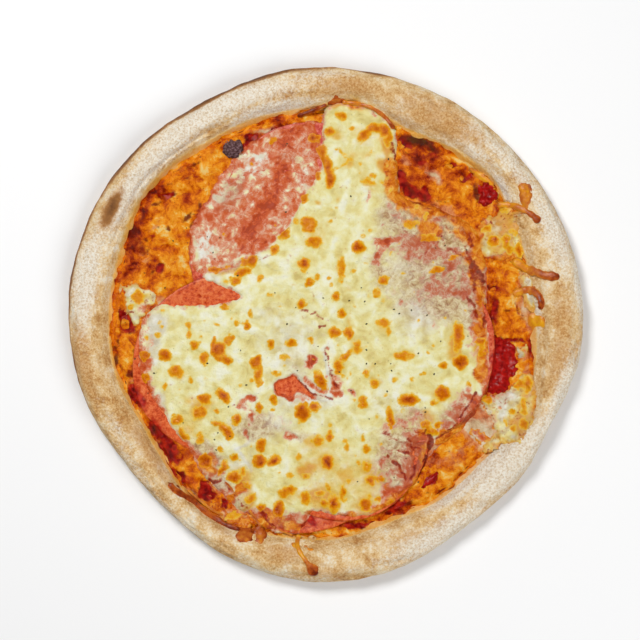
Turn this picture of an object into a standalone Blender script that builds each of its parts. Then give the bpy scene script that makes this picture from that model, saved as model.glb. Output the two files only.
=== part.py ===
# Pepperoni pizza, 30 cm across, with a raised bread rim, tomato sauce, an oily under layer of cheese,
# seven large thin pepperoni slices, a pale upper layer of cheese, and the bits that lie on and beside it.
# Metres, +Z up. The origin is under the middle of the pizza, on the surface that it rests on.
import math

import bmesh
import bpy

MM = 0.001
PIZZA = "pepperoni_pizza"

# Crust: outline, rim and floor
CRUST_RADIUS = 150.2 * MM
TOPPED_RADIUS = 125.0 * MM      # where the toppings end and the bare rim starts
RIM_HEIGHT = 18.0 * MM
FLOOR = 4.5 * MM                # thickness of the bread under the toppings
CRUST_STEPS = 60

# Layers, bottom to top
GAP = 0.4 * MM                  # clearance between two pieces that touch
SAUCE_THICKNESS = 0.8 * MM
UNDER_CHEESE_THICKNESS = 1.3 * MM
SLICE_THICKNESS = 0.8 * MM
UPPER_CHEESE_THICKNESS = 2.0 * MM
DRAPE = 28.0 * MM               # how far a layer takes to sink back to its bed beside a slice

SAUCE_BED = FLOOR + GAP
UNDER_CHEESE_BED = SAUCE_BED + SAUCE_THICKNESS + GAP
SLICE_BED = UNDER_CHEESE_BED + UNDER_CHEESE_THICKNESS + GAP

# How far the sauce and the under cheese stay inside the foot of the rim
SAUCE_INSET = 5.0 * MM
UNDER_CHEESE_INSET = 3.2 * MM

# Swellings and dents of a round outline: (angle in degrees, half width in degrees, height in mm)
CRUST_SWELLS = [
    (45, 22, -1.8), (80, 14, -1.4), (118, 17, -3.2),
    (222, 27, -9.4), (308, 19, -7.0), (336, 13, -5.8), (185, 8, -0.8),
]
TOPPED_SWELLS = [
    (8, 18, -4.6), (40, 7, 3.6), (66, 8, -2.4), (83, 6, 4.2), (143, 12, 3.6),
    (211, 12, -4.6), (240, 11, 4.6), (292, 13, -5.2), (316, 11, -4.4), (337, 6, 5.0),
]

# Swells and lumps along the rim: (waves round the pizza, share of the rim's height, start in radians)
RIM_WAVES = [(2, 0.035, 0.4), (3, 0.04, 1.0), (5, 0.03, 2.4), (8, 0.02, 0.7), (13, 0.015, 1.9)]

# Half section of the crust from the middle of its underside out, over the rim and back to the middle
# of its floor: (share of the topped radius, share of the rim's width, share of the rim's height).
FLOOR_SHARE = FLOOR / RIM_HEIGHT
UNDERSIDE = [(0.0, 0.0, 0.0), (0.6, 0.0, 0.0), (1.0, 0.0, 0.0), (1.0, 0.45, 0.0), (1.0, 0.8, 0.05), (1.0, 0.95, 0.19)]
OUTER_SIDE = [(1.0, 1.0, 0.4), (1.0, 0.98, 0.62), (1.0, 0.89, 0.82)]
RIM_TOP = [
    (1.0, 0.73, 0.96), (1.0, 0.53, 1.0), (1.0, 0.34, 0.93), (1.0, 0.18, 0.77),
    (1.0, 0.06, 0.58), (1.0, -0.04, 0.41), (1.0, -0.14, 0.28),
]
CRUST_FLOOR = [(1.0, -0.26, FLOOR_SHARE), (0.6, 0.0, FLOOR_SHARE), (0.0, 0.0, FLOOR_SHARE)]

# Rings and steps of a slice's disc, as shares of its radius
SLICE_RINGS = [0.0, 0.24, 0.5, 0.76, 0.99]
SLICE_STEPS = 30

# Pepperoni slices in the order that they were laid: name, x, y, radius in mm
SLICES = [
    ("pepperoni_top", -8.0, 67.5, 52.0),
    ("pepperoni_lower_left", -12.0, -70.5, 50.5),
    ("pepperoni_upper_right", 43.8, 19.8, 52.0),
    ("pepperoni_upper_left", -29.0, 40.0, 52.0),
    ("pepperoni_left", -59.5, -24.5, 52.0),
    ("pepperoni_bottom", 8.8, -62.0, 52.0),
    ("pepperoni_right", 44.9, -15.2, 52.0),
]

# Outline of the upper cheese about the middle of the pizza: (angle in degrees, radius in mm)
UPPER_CHEESE_OUTLINE = [
    (0, 95), (14, 94), (40, 81), (57, 79), (64, 92), (70, 114), (78, 121), (87, 121), (92, 106), (98, 76),
    (114, 65), (138, 56), (150, 60), (162, 84), (176, 95), (190, 108), (208, 108), (224, 100), (238, 100),
    (250, 108), (266, 109), (284, 112), (298, 97), (312, 91), (330, 96),
]

# Cheese patches, tomato pieces and a charred bit: name, x, y, half length, half width, turn in degrees,
# height in mm, and the material's name
BITS = [
    ("cheese_patch_left", -108.5, 11.5, 12.5, 9.5, 84, 1.8, "cheese_upper"),
    ("cheese_patch_upper_right", 100.5, 49.5, 12.0, 8.0, 112, 1.8, "cheese_upper"),
    ("cheese_patch_lower_right", 105.0, -52.0, 11.5, 7.6, 98, 1.8, "cheese_upper"),
    ("tomato_piece_right", 101.5, -25.0, 12.6, 5.6, 82, 3.4, "tomato"),
    ("tomato_piece_upper_right", 93.6, 75.2, 6.4, 4.8, 80, 3.0, "tomato"),
    ("tomato_piece_lower_right", 62.0, -90.6, 5.4, 4.0, 20, 2.6, "tomato"),
    ("charred_bit", -53.6, 101.5, 5.4, 4.6, 25, 3.6, "char"),
]

# Strings and drips of cheese that ran on to the rim: name, radius in mm, points (angle in degrees,
# distance from the middle in mm), and the material's name
DRIPS = [
    ("cheese_finger_upper", 1.5, [(14.8, 124.0), (13.4, 128.0), (12.0, 132.5), (11.4, 137.0)], "cheese_upper"),
    ("cheese_finger_lower", 1.4, [(9.6, 123.5), (7.9, 125.4), (6.0, 126.4), (4.0, 125.8)], "cheese_upper"),
    ("cheese_string_lower_left", 1.5, [(226.0, 129.6), (232.3, 129.6), (239.0, 130.6), (245.0, 130.6), (248.5, 130.4)],
     "cheese_browned"),
    ("cheese_drip_bottom", 1.7, [(263.4, 128.5), (264.0, 132.8), (265.6, 137.2), (267.6, 142.0)], "cheese_browned"),
]

# Base colour, roughness of each material
MATERIALS = {
    "crust": ((0.72, 0.48, 0.24), 0.85),
    "sauce": ((0.42, 0.03, 0.012), 0.35),
    "cheese_under": ((0.78, 0.28, 0.03), 0.35),
    "pepperoni": ((0.55, 0.14, 0.09), 0.45),
    "cheese_upper": ((0.82, 0.70, 0.38), 0.45),
    "cheese_browned": ((0.42, 0.16, 0.03), 0.5),
    "tomato": ((0.48, 0.02, 0.01), 0.3),
    "char": ((0.10, 0.05, 0.04), 0.7),
}


def smooth(t):
    """0 below 0, 1 above 1, and a smooth step between."""
    t = min(max(t, 0.0), 1.0)
    return t * t * (3.0 - 2.0 * t)


def swollen_radius(angle, radius, swells):
    """Radius of a circle with bell-shaped swellings at given angles."""
    degrees = math.degrees(angle)
    for centre, half_width, height in swells:
        away = (degrees - centre + 180.0) % 360.0 - 180.0
        radius += height * MM * math.exp(-((away / half_width) ** 2))
    return radius


def outline_radius(angle, outline):
    """Radius at an angle of a closed outline that passes smoothly through (degrees, mm) points."""
    degrees = math.degrees(angle) % 360.0
    for (start, inner), (end, outer) in zip(outline, outline[1:] + [(outline[0][0] + 360, outline[0][1])]):
        if start <= degrees <= end:
            return MM * (inner + (outer - inner) * smooth((degrees - start) / (end - start)))
    return MM * outline[0][1]


def crust_radius(angle):
    return swollen_radius(angle, CRUST_RADIUS, CRUST_SWELLS)


def topped_radius(angle):
    return swollen_radius(angle, TOPPED_RADIUS, TOPPED_SWELLS)


def rim_rise(angle):
    """The rim's height round the pizza, as a share of its nominal height: long swells and shorter lumps."""
    return 0.95 + sum(height * math.sin(waves * angle + start) for waves, height, start in RIM_WAVES)


def rim_top_height(angle, distance):
    """Height of the rim's upper surface at a distance from the middle."""
    foot = topped_radius(angle)
    share = (distance - foot) / (crust_radius(angle) - foot)
    top = sorted((across, height) for _, across, height in RIM_TOP + OUTER_SIDE[2:])
    height = top[0][1]
    for (near, low), (far, high) in zip(top, top[1:]):
        if near <= share <= far:
            height = low + (high - low) * (share - near) / (far - near)
    return RIM_HEIGHT * height * rim_rise(angle)


def slices_under(x, y, count):
    """Height that the first laid slices add under a layer, fading to none beside each slice."""
    height = 0.0
    for _, centre_x, centre_y, radius in SLICES[:count]:
        outside = math.hypot(x - centre_x * MM, y - centre_y * MM) - (radius + 1.0) * MM
        height += (SLICE_THICKNESS + GAP) * (1.0 - smooth(outside / DRAPE))
    return height


def spun(profile, steps):
    """A closed body: a half section in the XZ plane, turned round Z."""
    body = bmesh.new()
    points = [body.verts.new((radius, 0.0, height)) for radius, height in profile]
    edges = [body.edges.new(pair) for pair in zip(points, points[1:])]
    bmesh.ops.spin(
        body, geom=points + edges, cent=(0, 0, 0), axis=(0, 0, 1), angle=2.0 * math.pi, steps=steps, use_merge=True
    )
    bmesh.ops.remove_doubles(body, verts=body.verts, dist=0.00001)
    bmesh.ops.recalc_face_normals(body, faces=body.faces)
    if body.calc_volume(signed=True) < 0.0:
        bmesh.ops.reverse_faces(body, faces=body.faces)
    return body


def add_piece(name, body, material, collection):
    """Turn the finished body into an object with its own material."""
    mesh = bpy.data.meshes.new(name)
    body.to_mesh(mesh)
    body.free()
    mesh.shade_smooth()
    mesh.set_sharp_from_angle(angle=math.radians(50))
    mesh.materials.append(material)
    piece = bpy.data.objects.new(name, mesh)
    collection.objects.link(piece)
    return piece


def make_materials():
    made = {}
    for name, (colour, roughness) in MATERIALS.items():
        material = bpy.data.materials.new(name)
        material.use_nodes = True
        shader = material.node_tree.nodes["Principled BSDF"]
        shader.inputs["Base Color"].default_value = (*colour, 1.0)
        shader.inputs["Roughness"].default_value = roughness
        shader.inputs["Metallic"].default_value = 0.0
        made[name] = material
    return made


def add_crust(material, collection):
    """The bread: a turned half section, then pulled to the uneven outline and rim height."""
    section = UNDERSIDE + OUTER_SIDE + RIM_TOP + CRUST_FLOOR
    rim = CRUST_RADIUS - TOPPED_RADIUS
    profile = [(TOPPED_RADIUS * inner + rim * across, RIM_HEIGHT * height) for inner, across, height in section]
    body = spun(profile, CRUST_STEPS)
    for vertex in body.verts:
        angle = math.atan2(vertex.co.y, vertex.co.x)
        distance = math.hypot(vertex.co.x, vertex.co.y)
        foot = topped_radius(angle)
        across = (distance - TOPPED_RADIUS) / rim
        if distance < TOPPED_RADIUS * 0.7:
            placed = distance
        else:
            placed = foot + across * (crust_radius(angle) - foot)
        if vertex.co.z > FLOOR * 1.01:
            vertex.co.z *= rim_rise(angle)
        vertex.co.x = placed * math.cos(angle)
        vertex.co.y = placed * math.sin(angle)
    return add_piece("crust", body, material, collection)


def add_layer(name, outline, rings, steps, thickness, bed, edge, material, collection):
    """A thin layer with a rounded edge: outline(angle) gives its radius, bed(x, y) its underside."""
    top = [(share, 1.0) for share in rings]
    under = [(share, 0.0) for share in reversed(rings)]
    profile = [(0.0, 1.0)] + top + [(1.0 - edge * 0.25, 0.8), (1.0, 0.4), (1.0 - edge * 0.4, 0.0)] + under + [(0.0, 0.0)]
    body = spun(profile, steps)
    for vertex in body.verts:
        angle = math.atan2(vertex.co.y, vertex.co.x)
        distance = math.hypot(vertex.co.x, vertex.co.y) * outline(angle)
        vertex.co.x = distance * math.cos(angle)
        vertex.co.y = distance * math.sin(angle)
        vertex.co.z = bed(vertex.co.x, vertex.co.y) + thickness * vertex.co.z
    return add_piece(name, body, material, collection)


def add_slice(order, material, collection):
    """One pepperoni slice, a thin round disc that lies over the slices laid before it."""
    name, centre_x, centre_y, radius = SLICES[order]
    top = [(share, 1.0) for share in SLICE_RINGS]
    under = [(share, 0.0) for share in reversed(SLICE_RINGS)]
    body = spun(top + [(1.0, 0.5)] + under, SLICE_STEPS)
    for vertex in body.verts:
        angle = math.atan2(vertex.co.y, vertex.co.x)
        uneven = 1.0 + 0.008 * math.sin(3.0 * angle + order) + 0.005 * math.sin(7.0 * angle + 2.0 * order)
        vertex.co.x = vertex.co.x * radius * MM * uneven + centre_x * MM
        vertex.co.y = vertex.co.y * radius * MM * uneven + centre_y * MM
        bed = SLICE_BED + slices_under(vertex.co.x, vertex.co.y, order)
        vertex.co.z = bed + SLICE_THICKNESS * vertex.co.z
    return add_piece(name, body, material, collection)


def add_bit(name, x, y, half_length, half_width, turn, height, material, collection):
    """A small domed lump with an uneven oval outline, lying on whatever is under it."""
    body = spun([(0.0, 1.0), (0.35, 0.95), (0.68, 0.78), (0.93, 0.45), (1.0, 0.2), (0.95, 0.0), (0.5, 0.0), (0.0, 0.0)], 18)
    turned = math.radians(turn)
    for vertex in body.verts:
        angle = math.atan2(vertex.co.y, vertex.co.x)
        uneven = 1.0 + 0.06 * math.sin(2.0 * angle + x) + 0.05 * math.sin(5.0 * angle + y)
        along = vertex.co.x * half_length * MM * uneven
        across = vertex.co.y * half_width * MM * uneven
        vertex.co.x = x * MM + along * math.cos(turned) - across * math.sin(turned)
        vertex.co.y = y * MM + along * math.sin(turned) + across * math.cos(turned)
        bed = SLICE_BED + slices_under(vertex.co.x, vertex.co.y, len(SLICES))
        vertex.co.z = bed + height * MM * vertex.co.z
    return add_piece(name, body, material, collection)


def add_drip(name, radius, route, material, collection):
    """A string of melted cheese: a tube that follows the rim's surface along a route, thickest at its end."""
    curve = bpy.data.curves.new(name, "CURVE")
    curve.dimensions = "3D"
    curve.bevel_depth = radius * MM
    curve.bevel_resolution = 2
    curve.use_fill_caps = True
    spline = curve.splines.new("POLY")
    between = 3
    stops = []
    for (angle, distance), (next_angle, next_distance) in zip(route, route[1:]):
        for part in range(between):
            share = part / between
            stops.append((angle + (next_angle - angle) * share, distance + (next_distance - distance) * share))
    stops.append(route[-1])
    spline.points.add(len(stops) - 1)
    for number, (degrees, distance) in enumerate(stops):
        angle = math.radians(degrees)
        x = distance * MM * math.cos(angle)
        y = distance * MM * math.sin(angle)
        # the highest rim within the tube's width, so that its side stays off a slope
        reach = (radius + 0.4) * MM
        crust_below = max(rim_top_height(angle, distance * MM + step * reach) for step in (-1.0, -0.5, 0.0, 0.5, 1.0))
        spline.points[number].co = (x, y, crust_below + GAP + radius * MM, 1.0)
        spline.points[number].radius = 0.75 + 0.25 * number / (len(stops) - 1)
    curve.materials.append(material)
    piece = bpy.data.objects.new(name, curve)
    collection.objects.link(piece)
    return piece


def centre_on_origin(pieces, crust):
    """Shift every piece so that the origin is under the middle of the crust's box."""
    spread_x = [vertex.co.x for vertex in crust.data.vertices]
    spread_y = [vertex.co.y for vertex in crust.data.vertices]
    for piece in pieces:
        piece.location.x = -0.5 * (min(spread_x) + max(spread_x))
        piece.location.y = -0.5 * (min(spread_y) + max(spread_y))


def main():
    for leftover in list(bpy.data.objects):
        bpy.data.objects.remove(leftover, do_unlink=True)
    pizza = bpy.data.collections.new(PIZZA)
    bpy.context.scene.collection.children.link(pizza)
    materials = make_materials()

    crust = add_crust(materials["crust"], pizza)
    pieces = [crust]
    pieces.append(add_layer(
        "tomato_sauce", lambda angle: topped_radius(angle) - SAUCE_INSET, [0.6, 0.97], 48,
        SAUCE_THICKNESS, lambda x, y: SAUCE_BED, 0.015, materials["sauce"], pizza,
    ))
    pieces.append(add_layer(
        "cheese_under", lambda angle: topped_radius(angle) - UNDER_CHEESE_INSET, [0.6, 0.96], 60,
        UNDER_CHEESE_THICKNESS, lambda x, y: UNDER_CHEESE_BED, 0.02, materials["cheese_under"], pizza,
    ))
    for order in range(len(SLICES)):
        pieces.append(add_slice(order, materials["pepperoni"], pizza))
    pieces.append(add_layer(
        "cheese_upper", lambda angle: outline_radius(angle, UPPER_CHEESE_OUTLINE),
        [0.13, 0.3, 0.47, 0.64, 0.81, 0.95], 64, UPPER_CHEESE_THICKNESS,
        lambda x, y: SLICE_BED + slices_under(x, y, len(SLICES)), 0.03, materials["cheese_upper"], pizza,
    ))
    for name, x, y, half_length, half_width, turn, height, finish in BITS:
        pieces.append(add_bit(name, x, y, half_length, half_width, turn, height, materials[finish], pizza))
    for name, radius, route, finish in DRIPS:
        pieces.append(add_drip(name, radius, route, materials[finish], pizza))
    centre_on_origin(pieces, crust)


main()
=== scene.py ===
import math

import bpy
import numpy as np
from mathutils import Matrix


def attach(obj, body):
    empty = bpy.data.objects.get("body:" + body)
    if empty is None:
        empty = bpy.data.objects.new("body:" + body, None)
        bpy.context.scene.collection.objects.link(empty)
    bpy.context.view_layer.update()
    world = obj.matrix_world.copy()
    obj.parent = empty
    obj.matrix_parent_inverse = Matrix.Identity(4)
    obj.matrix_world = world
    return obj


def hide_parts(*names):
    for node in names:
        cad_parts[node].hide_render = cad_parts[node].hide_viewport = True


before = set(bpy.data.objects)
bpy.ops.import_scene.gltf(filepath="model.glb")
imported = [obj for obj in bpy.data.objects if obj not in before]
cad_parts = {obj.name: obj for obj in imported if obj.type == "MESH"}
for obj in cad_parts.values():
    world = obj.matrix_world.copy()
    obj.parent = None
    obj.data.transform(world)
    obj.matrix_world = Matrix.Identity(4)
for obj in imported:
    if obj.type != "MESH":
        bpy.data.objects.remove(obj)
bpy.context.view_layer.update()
mm = 0.001
print("frame loaded")

# how much brighter than its own colour a level surface shows under the lights
studioGain = 1.16

# The layers are first drawn as height and colour maps on one square raster over the toppings.
raster = {"reach": 134.0, "step": 0.6}
rasterLine = np.arange(-raster["reach"], raster["reach"] + raster["step"], raster["step"])
rasterX, rasterY = np.meshgrid(rasterLine, rasterLine)


def softStep(t):
    # 3t^2 - 2t^3 between 0 and 1
    t = np.clip(t, 0.0, 1.0)
    return t * t * (3.0 - 2.0 * t)


def circle(count):
    # angles at even steps round a circle
    return np.linspace(0.0, 2.0 * np.pi, count, endpoint=False)


def roundedEdge(t):
    # quarter of a circle: 0 at 0, rising steeply, then flattening to 1 at 1
    return np.sqrt(np.clip(1.0 - (1.0 - np.clip(t, 0.0, 1.0)) ** 2, 0.0, 1.0))


def latticeNoise(u, v, seed, wrap=64):
    # gradient noise: a random slope at each lattice corner, blended by a quintic step, from about -1 to 1
    turn = np.random.default_rng(seed).random((wrap, 64)) * 2.0 * np.pi
    iu = np.floor(u).astype(int)
    iv = np.floor(v).astype(int)
    fu = u - iu
    fv = v - iv
    su = fu ** 3 * (fu * (fu * 6.0 - 15.0) + 10.0)
    sv = fv ** 3 * (fv * (fv * 6.0 - 15.0) + 10.0)

    def corner(du, dv):
        slope = turn[(iu + du) % wrap, (iv + dv) % 64]
        return np.cos(slope) * (fu - du) + np.sin(slope) * (fv - dv)

    low = corner(0, 0) * (1.0 - su) + corner(1, 0) * su
    high = corner(0, 1) * (1.0 - su) + corner(1, 1) * su
    return 1.4 * (low * (1.0 - sv) + high * sv)


def lumps(x, y, size, seed, octaves=3):
    # gradient noise summed over octaves, each half as wide and half as high as the one before
    total = 0.0
    height = 1.0
    for octave in range(octaves):
        u = x / size + 9.7 * octave
        v = y / size + 5.3 * octave
        total = total + height * latticeNoise(u, v, seed + octave)
        size *= 0.5
        height *= 0.5
    return total


def blurred(values, size):
    # Gaussian blur of a raster map, size in mm, by a product of its spectrum
    fy = np.fft.fftfreq(values.shape[0], raster["step"])[:, None]
    fx = np.fft.rfftfreq(values.shape[1], raster["step"])[None, :]
    spectrum = np.fft.rfft2(values) * np.exp(-2.0 * (np.pi * size) ** 2 * (fx * fx + fy * fy))
    return np.fft.irfft2(spectrum, s=values.shape)


def sampled(values, x, y):
    # value of a raster map between its points: weighted mean of the four around
    u = np.clip((x + raster["reach"]) / raster["step"], 0.0, values.shape[1] - 1.001)
    v = np.clip((y + raster["reach"]) / raster["step"], 0.0, values.shape[0] - 1.001)
    iu = u.astype(int)
    iv = v.astype(int)
    fu = u - iu
    fv = v - iv
    low = values[iv, iu] * (1.0 - fu) + values[iv, iu + 1] * fu
    high = values[iv + 1, iu] * (1.0 - fu) + values[iv + 1, iu + 1] * fu
    return low * (1.0 - fv) + high * fv


def cutCorners(points, closed):
    # each corner is replaced by two points, a quarter of the way along the sides that meet there
    points = np.array(points, float)
    following = np.roll(points, -1, axis=0) if closed else points[1:]
    before = points if closed else points[:-1]
    cut = np.stack([0.75 * before + 0.25 * following, 0.25 * before + 0.75 * following], 1).reshape(-1, 2)
    return cut if closed else np.concatenate([points[:1], cut, points[-1:]])


def smoothPath(points):
    # an open route with its corners cut three times
    for _ in range(3):
        points = cutCorners(points, False)
    return points


def outlineDepth(outline, x=rasterX, y=rasterY):
    # how far inside a closed outline each point lies, below zero outside
    corners = cutCorners(outline, True)
    nearest = np.full(x.shape, 1e9)
    inside = np.zeros(x.shape, bool)
    for (ax, ay), (bx, by) in zip(corners, np.roll(corners, -1, axis=0)):
        ex = bx - ax
        ey = by - ay
        share = np.clip(((x - ax) * ex + (y - ay) * ey) / (ex * ex + ey * ey), 0.0, 1.0)
        nearest = np.minimum(nearest, (x - ax - share * ex) ** 2 + (y - ay - share * ey) ** 2)
        if ay != by:
            inside ^= ((ay > y) != (by > y)) & (x < ex * (y - ay) / ey + ax)
    return np.where(inside, np.sqrt(nearest), -np.sqrt(nearest))


def window(x, y, reach):
    # the part of the raster within reach of a point
    count = len(rasterLine)
    parts = []
    for place in (y, x):
        low = (place - reach + raster["reach"]) / raster["step"]
        high = (place + reach + raster["reach"]) / raster["step"] + 2
        parts.append(slice(int(np.clip(low, 0, count - 1)), int(np.clip(high, 1, count))))
    return tuple(parts)


def ovalFrame(place, reach, warpX, warpY):
    # the raster near an oval, and its points' places along and across it, as shares of half its size
    x, y, length, width, _, *turn = place
    part = window(x, y, reach)
    dx = warpX[part] - x
    dy = warpY[part] - y
    angle = math.radians(turn[0] if turn else 0.0)
    c = math.cos(angle)
    s = math.sin(angle)
    return part, (dx * c + dy * s) / (0.5 * length), (dy * c - dx * s) / (0.5 * width)


def ovalMap(places, warpX, warpY, edge, rise, fall):
    # highest of many oval marks: edge at an oval's line, rising by rise per mm inside up to the mark's
    # strength, falling by fall per mm outside
    values = np.zeros(rasterX.shape)
    for place in places:
        _, _, length, width, strength = place[:5]
        part, along, across = ovalFrame(place, 0.5 * max(length, width) + 5.0, warpX, warpY)
        inside = (1.0 - np.hypot(along, across)) * 0.5 * min(length, width)
        mark = edge * strength + np.where(inside > 0.0, inside * rise, inside * fall)
        values[part] = np.maximum(values[part], np.clip(mark, 0.0, strength))
    return values


def bellMap(places, warpX, warpY):
    # sum of many soft oval hills: strength times exp(-d^2) with d = 1 at the oval's line
    values = np.zeros(rasterX.shape)
    for place in places:
        _, _, length, width, strength = place[:5]
        part, along, across = ovalFrame(place, 1.1 * max(length, width) + 2.0, warpX, warpY)
        values[part] += strength * np.exp(-(along ** 2 + across ** 2))
    return values


def routeMap(routes, warpX, warpY):
    # soft lines: strength times a bell across the route; routes hold width, strength and points
    values = np.zeros(rasterX.shape)
    for width, strength, points in routes:
        path = cutCorners(cutCorners(points, False), False)
        for (ax, ay), (bx, by) in zip(path[:-1], path[1:]):
            ex = bx - ax
            ey = by - ay
            part = window(0.5 * (ax + bx), 0.5 * (ay + by), math.hypot(ex, ey) * 0.5 + 2.0 * width + 2.0)
            dx = warpX[part] - ax
            dy = warpY[part] - ay
            share = np.clip((dx * ex + dy * ey) / (ex * ex + ey * ey + 1e-9), 0.0, 1.0)
            off = ((dx - share * ex) ** 2 + (dy - share * ey) ** 2) / (0.5 * width) ** 2
            values[part] = np.maximum(values[part], strength * np.exp(-off * off))
    return values


def strandMaps(count, reach, length, width, seed, ringShare=0.0):
    # many short bent strands: their relief, a half round across each one, and a random tone for each;
    # ringShare of them follow the rim
    step = 2.0
    rng = np.random.default_rng(seed)
    relief = np.zeros(rasterX.shape)
    tone = np.zeros(rasterX.shape)
    for _ in range(count):
        angle = rng.random() * 2.0 * np.pi
        out = reach * math.sqrt(rng.random())
        x = out * math.cos(angle)
        y = out * math.sin(angle)
        heading = rng.random() * 2.0 * np.pi
        if rng.random() < ringShare:
            heading = angle + 0.5 * np.pi + rng.normal(0.0, 0.5)
        bend = rng.normal(0.0, 0.2)
        half = width * rng.uniform(0.35, 0.65)
        shade = rng.uniform(-1.0, 1.0)
        for _ in range(int(length * rng.uniform(0.5, 1.2) / step)):
            part = window(x, y, half + step)
            dx = rasterX[part] - x
            dy = rasterY[part] - y
            c = math.cos(heading)
            s = math.sin(heading)
            along = np.clip(dx * c + dy * s, 0.0, step)
            off = np.hypot(dx - along * c, dy - along * s) / half
            hump = half / width * 2.0 * np.sqrt(np.clip(1.0 - off * off, 0.0, 1.0))
            higher = hump > relief[part]
            relief[part] = np.where(higher, hump, relief[part])
            tone[part] = np.where(higher, shade, tone[part])
            x += step * c
            y += step * s
            heading += bend
    return relief, tone


def ringMesh(x, y, z):
    # closed surface from rows of rings, counterclockwise seen from the top pole, where the first row is;
    # the last row is at the bottom pole, and each pole is closed by a fan
    rows, columns = x.shape
    number = np.arange(rows * columns).reshape(rows, columns)
    after = np.roll(number, -1, axis=1)
    quads = np.stack([number[:-1], number[1:], after[1:], after[:-1]], -1).reshape(-1, 4)
    top = np.full(columns, rows * columns)
    under = np.full(columns, rows * columns + 1)
    fans = np.concatenate([
        np.stack([top, number[0], after[0]], -1), np.stack([under, after[-1], number[-1]], -1),
    ])
    points = np.stack([x, y, z], -1).reshape(-1, 3)
    poles = [points[:columns].mean(0), points[-columns:].mean(0)]
    return np.concatenate([points, poles]), quads, fans


def ringValues(values):
    # a map given on a ring mesh's grid, with its two poles added
    return np.concatenate([values.reshape(-1), [values[0].mean(), values[-1].mean()]])


def shellMesh(x, y, top, under, keep):
    # closed slab over the kept cells of a grid: top, underside, and walls along the kept cells' edges
    rows, columns = x.shape
    total = rows * columns
    number = np.arange(total).reshape(rows, columns)
    upper = np.stack([number[:-1, :-1], number[:-1, 1:], number[1:, 1:], number[1:, :-1]], -1)[keep]
    edges = np.concatenate([upper[:, [k, (k + 1) % 4]] for k in range(4)])
    rim = edges[~np.isin(edges[:, 0] * total + edges[:, 1], edges[:, 1] * total + edges[:, 0])]
    walls = np.stack([rim[:, 1], rim[:, 0], rim[:, 0] + total, rim[:, 1] + total], -1)
    used, quads = np.unique(np.concatenate([upper, upper[:, ::-1] + total, walls]), return_inverse=True)
    points = np.concatenate([np.stack([x, y, z], -1).reshape(-1, 3) for z in (top, under)])
    return (points[used], quads.reshape(-1, 4), np.zeros((0, 3), int)), used % total


def joined(parts):
    # several meshes as one
    starts = np.cumsum([0] + [len(part[0]) for part in parts])
    points = np.concatenate([part[0] for part in parts])
    quads = np.concatenate([part[1] + start for part, start in zip(parts, starts)])
    fans = np.concatenate([part[2] + start for part, start in zip(parts, starts)])
    return points, quads, fans


def addPiece(name, mesh, material, nodes=(), values=None):
    # puts the arrays into a mesh object that rides on the pizza and stands for the given solids
    points, quads, fans = mesh
    data = bpy.data.meshes.new(name)
    data.vertices.add(len(points))
    data.vertices.foreach_set("co", (points * mm).astype(np.float32).ravel())
    loops = np.concatenate([quads.ravel(), fans.ravel()]).astype(np.int32)
    data.loops.add(len(loops))
    data.loops.foreach_set("vertex_index", loops)
    starts = np.concatenate([np.arange(len(quads)) * 4, len(quads) * 4 + np.arange(len(fans)) * 3])
    data.polygons.add(len(starts))
    data.polygons.foreach_set("loop_start", starts.astype(np.int32))
    data.update(calc_edges=True)
    data.validate()
    for label, numbers in (values or {}).items():
        attribute = data.attributes.new(label, "FLOAT", "POINT")
        attribute.data.foreach_set("value", np.asarray(numbers, np.float32).ravel())
    data.shade_smooth()
    data.materials.append(material)
    piece = bpy.data.objects.new(name, data)
    bpy.context.scene.collection.objects.link(piece)
    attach(piece, "root")
    if nodes:
        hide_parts(*nodes)
    print(name, "triangles", 2 * len(quads) + len(fans))
    return piece


def paint(red, green, blue):
    # a colour from 0 to 255 as it shows under the studio's light, as the linear colour that shaders take
    shares = [value / 255.0 for value in (red, green, blue)]
    linear = [((v + 0.055) / 1.055) ** 2.4 if v > 0.04 else v / 12.92 for v in shares]
    return tuple(v / studioGain for v in linear) + (1.0,)


def put(tree, kind, inputs=None, **settings):
    # adds a shader node, made ready first; each input is given a value or the socket that feeds it
    made = tree.nodes.new(kind)
    for name, value in settings.items():
        setattr(made, name, value)
    for name, value in (inputs or {}).items():
        if isinstance(value, bpy.types.NodeSocket):
            tree.links.new(value, made.inputs[name])
        else:
            made.inputs[name].default_value = value
    return made


def calc(tree, operation, a, b=0.0, c=0.0):
    return put(tree, "ShaderNodeMath", {0: a, 1: b, 2: c}, operation=operation).outputs[0]


def mixed(tree, factor, a, b):
    return put(tree, "ShaderNodeMix", {0: factor, 6: a, 7: b}, data_type="RGBA").outputs[2]


def noise(tree, size, detail=2.0, roughness=0.5, distortion=0.0):
    # noise on object coordinates whose coarsest lumps are about size mm across
    place = put(tree, "ShaderNodeTexCoord").outputs["Object"]
    inputs = {"Vector": place, "Scale": 1.0 / (size * mm), "Detail": detail, "Roughness": roughness}
    return put(tree, "ShaderNodeTexNoise", inputs | {"Distortion": distortion}).outputs[0]


def shaken(tree, value, size, amount, detail=4.0):
    # a value made uneven: value + amount * (noise - 0.5)
    wobble = calc(tree, "MULTIPLY_ADD", noise(tree, size, detail, 0.6), amount, -0.5 * amount)
    return calc(tree, "ADD", value, wobble)


def spread(tree, value, low, high):
    # 0 at low, 1 at high, smooth between
    inputs = {0: value, 1: low, 2: high, 3: 0.0, 4: 1.0}
    return put(tree, "ShaderNodeMapRange", inputs, interpolation_type="SMOOTHSTEP").outputs[0]


def ramp(tree, factor, stops):
    made = put(tree, "ShaderNodeValToRGB", {0: factor})
    elements = made.color_ramp.elements
    while len(elements) < len(stops):
        elements.new(0.5)
    for element, (position, shade) in zip(elements, stops):
        element.position = position
        element.color = paint(*shade)
    return made.outputs[0]


def mapped(tree, name):
    return put(tree, "ShaderNodeAttribute", attribute_name=name).outputs["Fac"]


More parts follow.
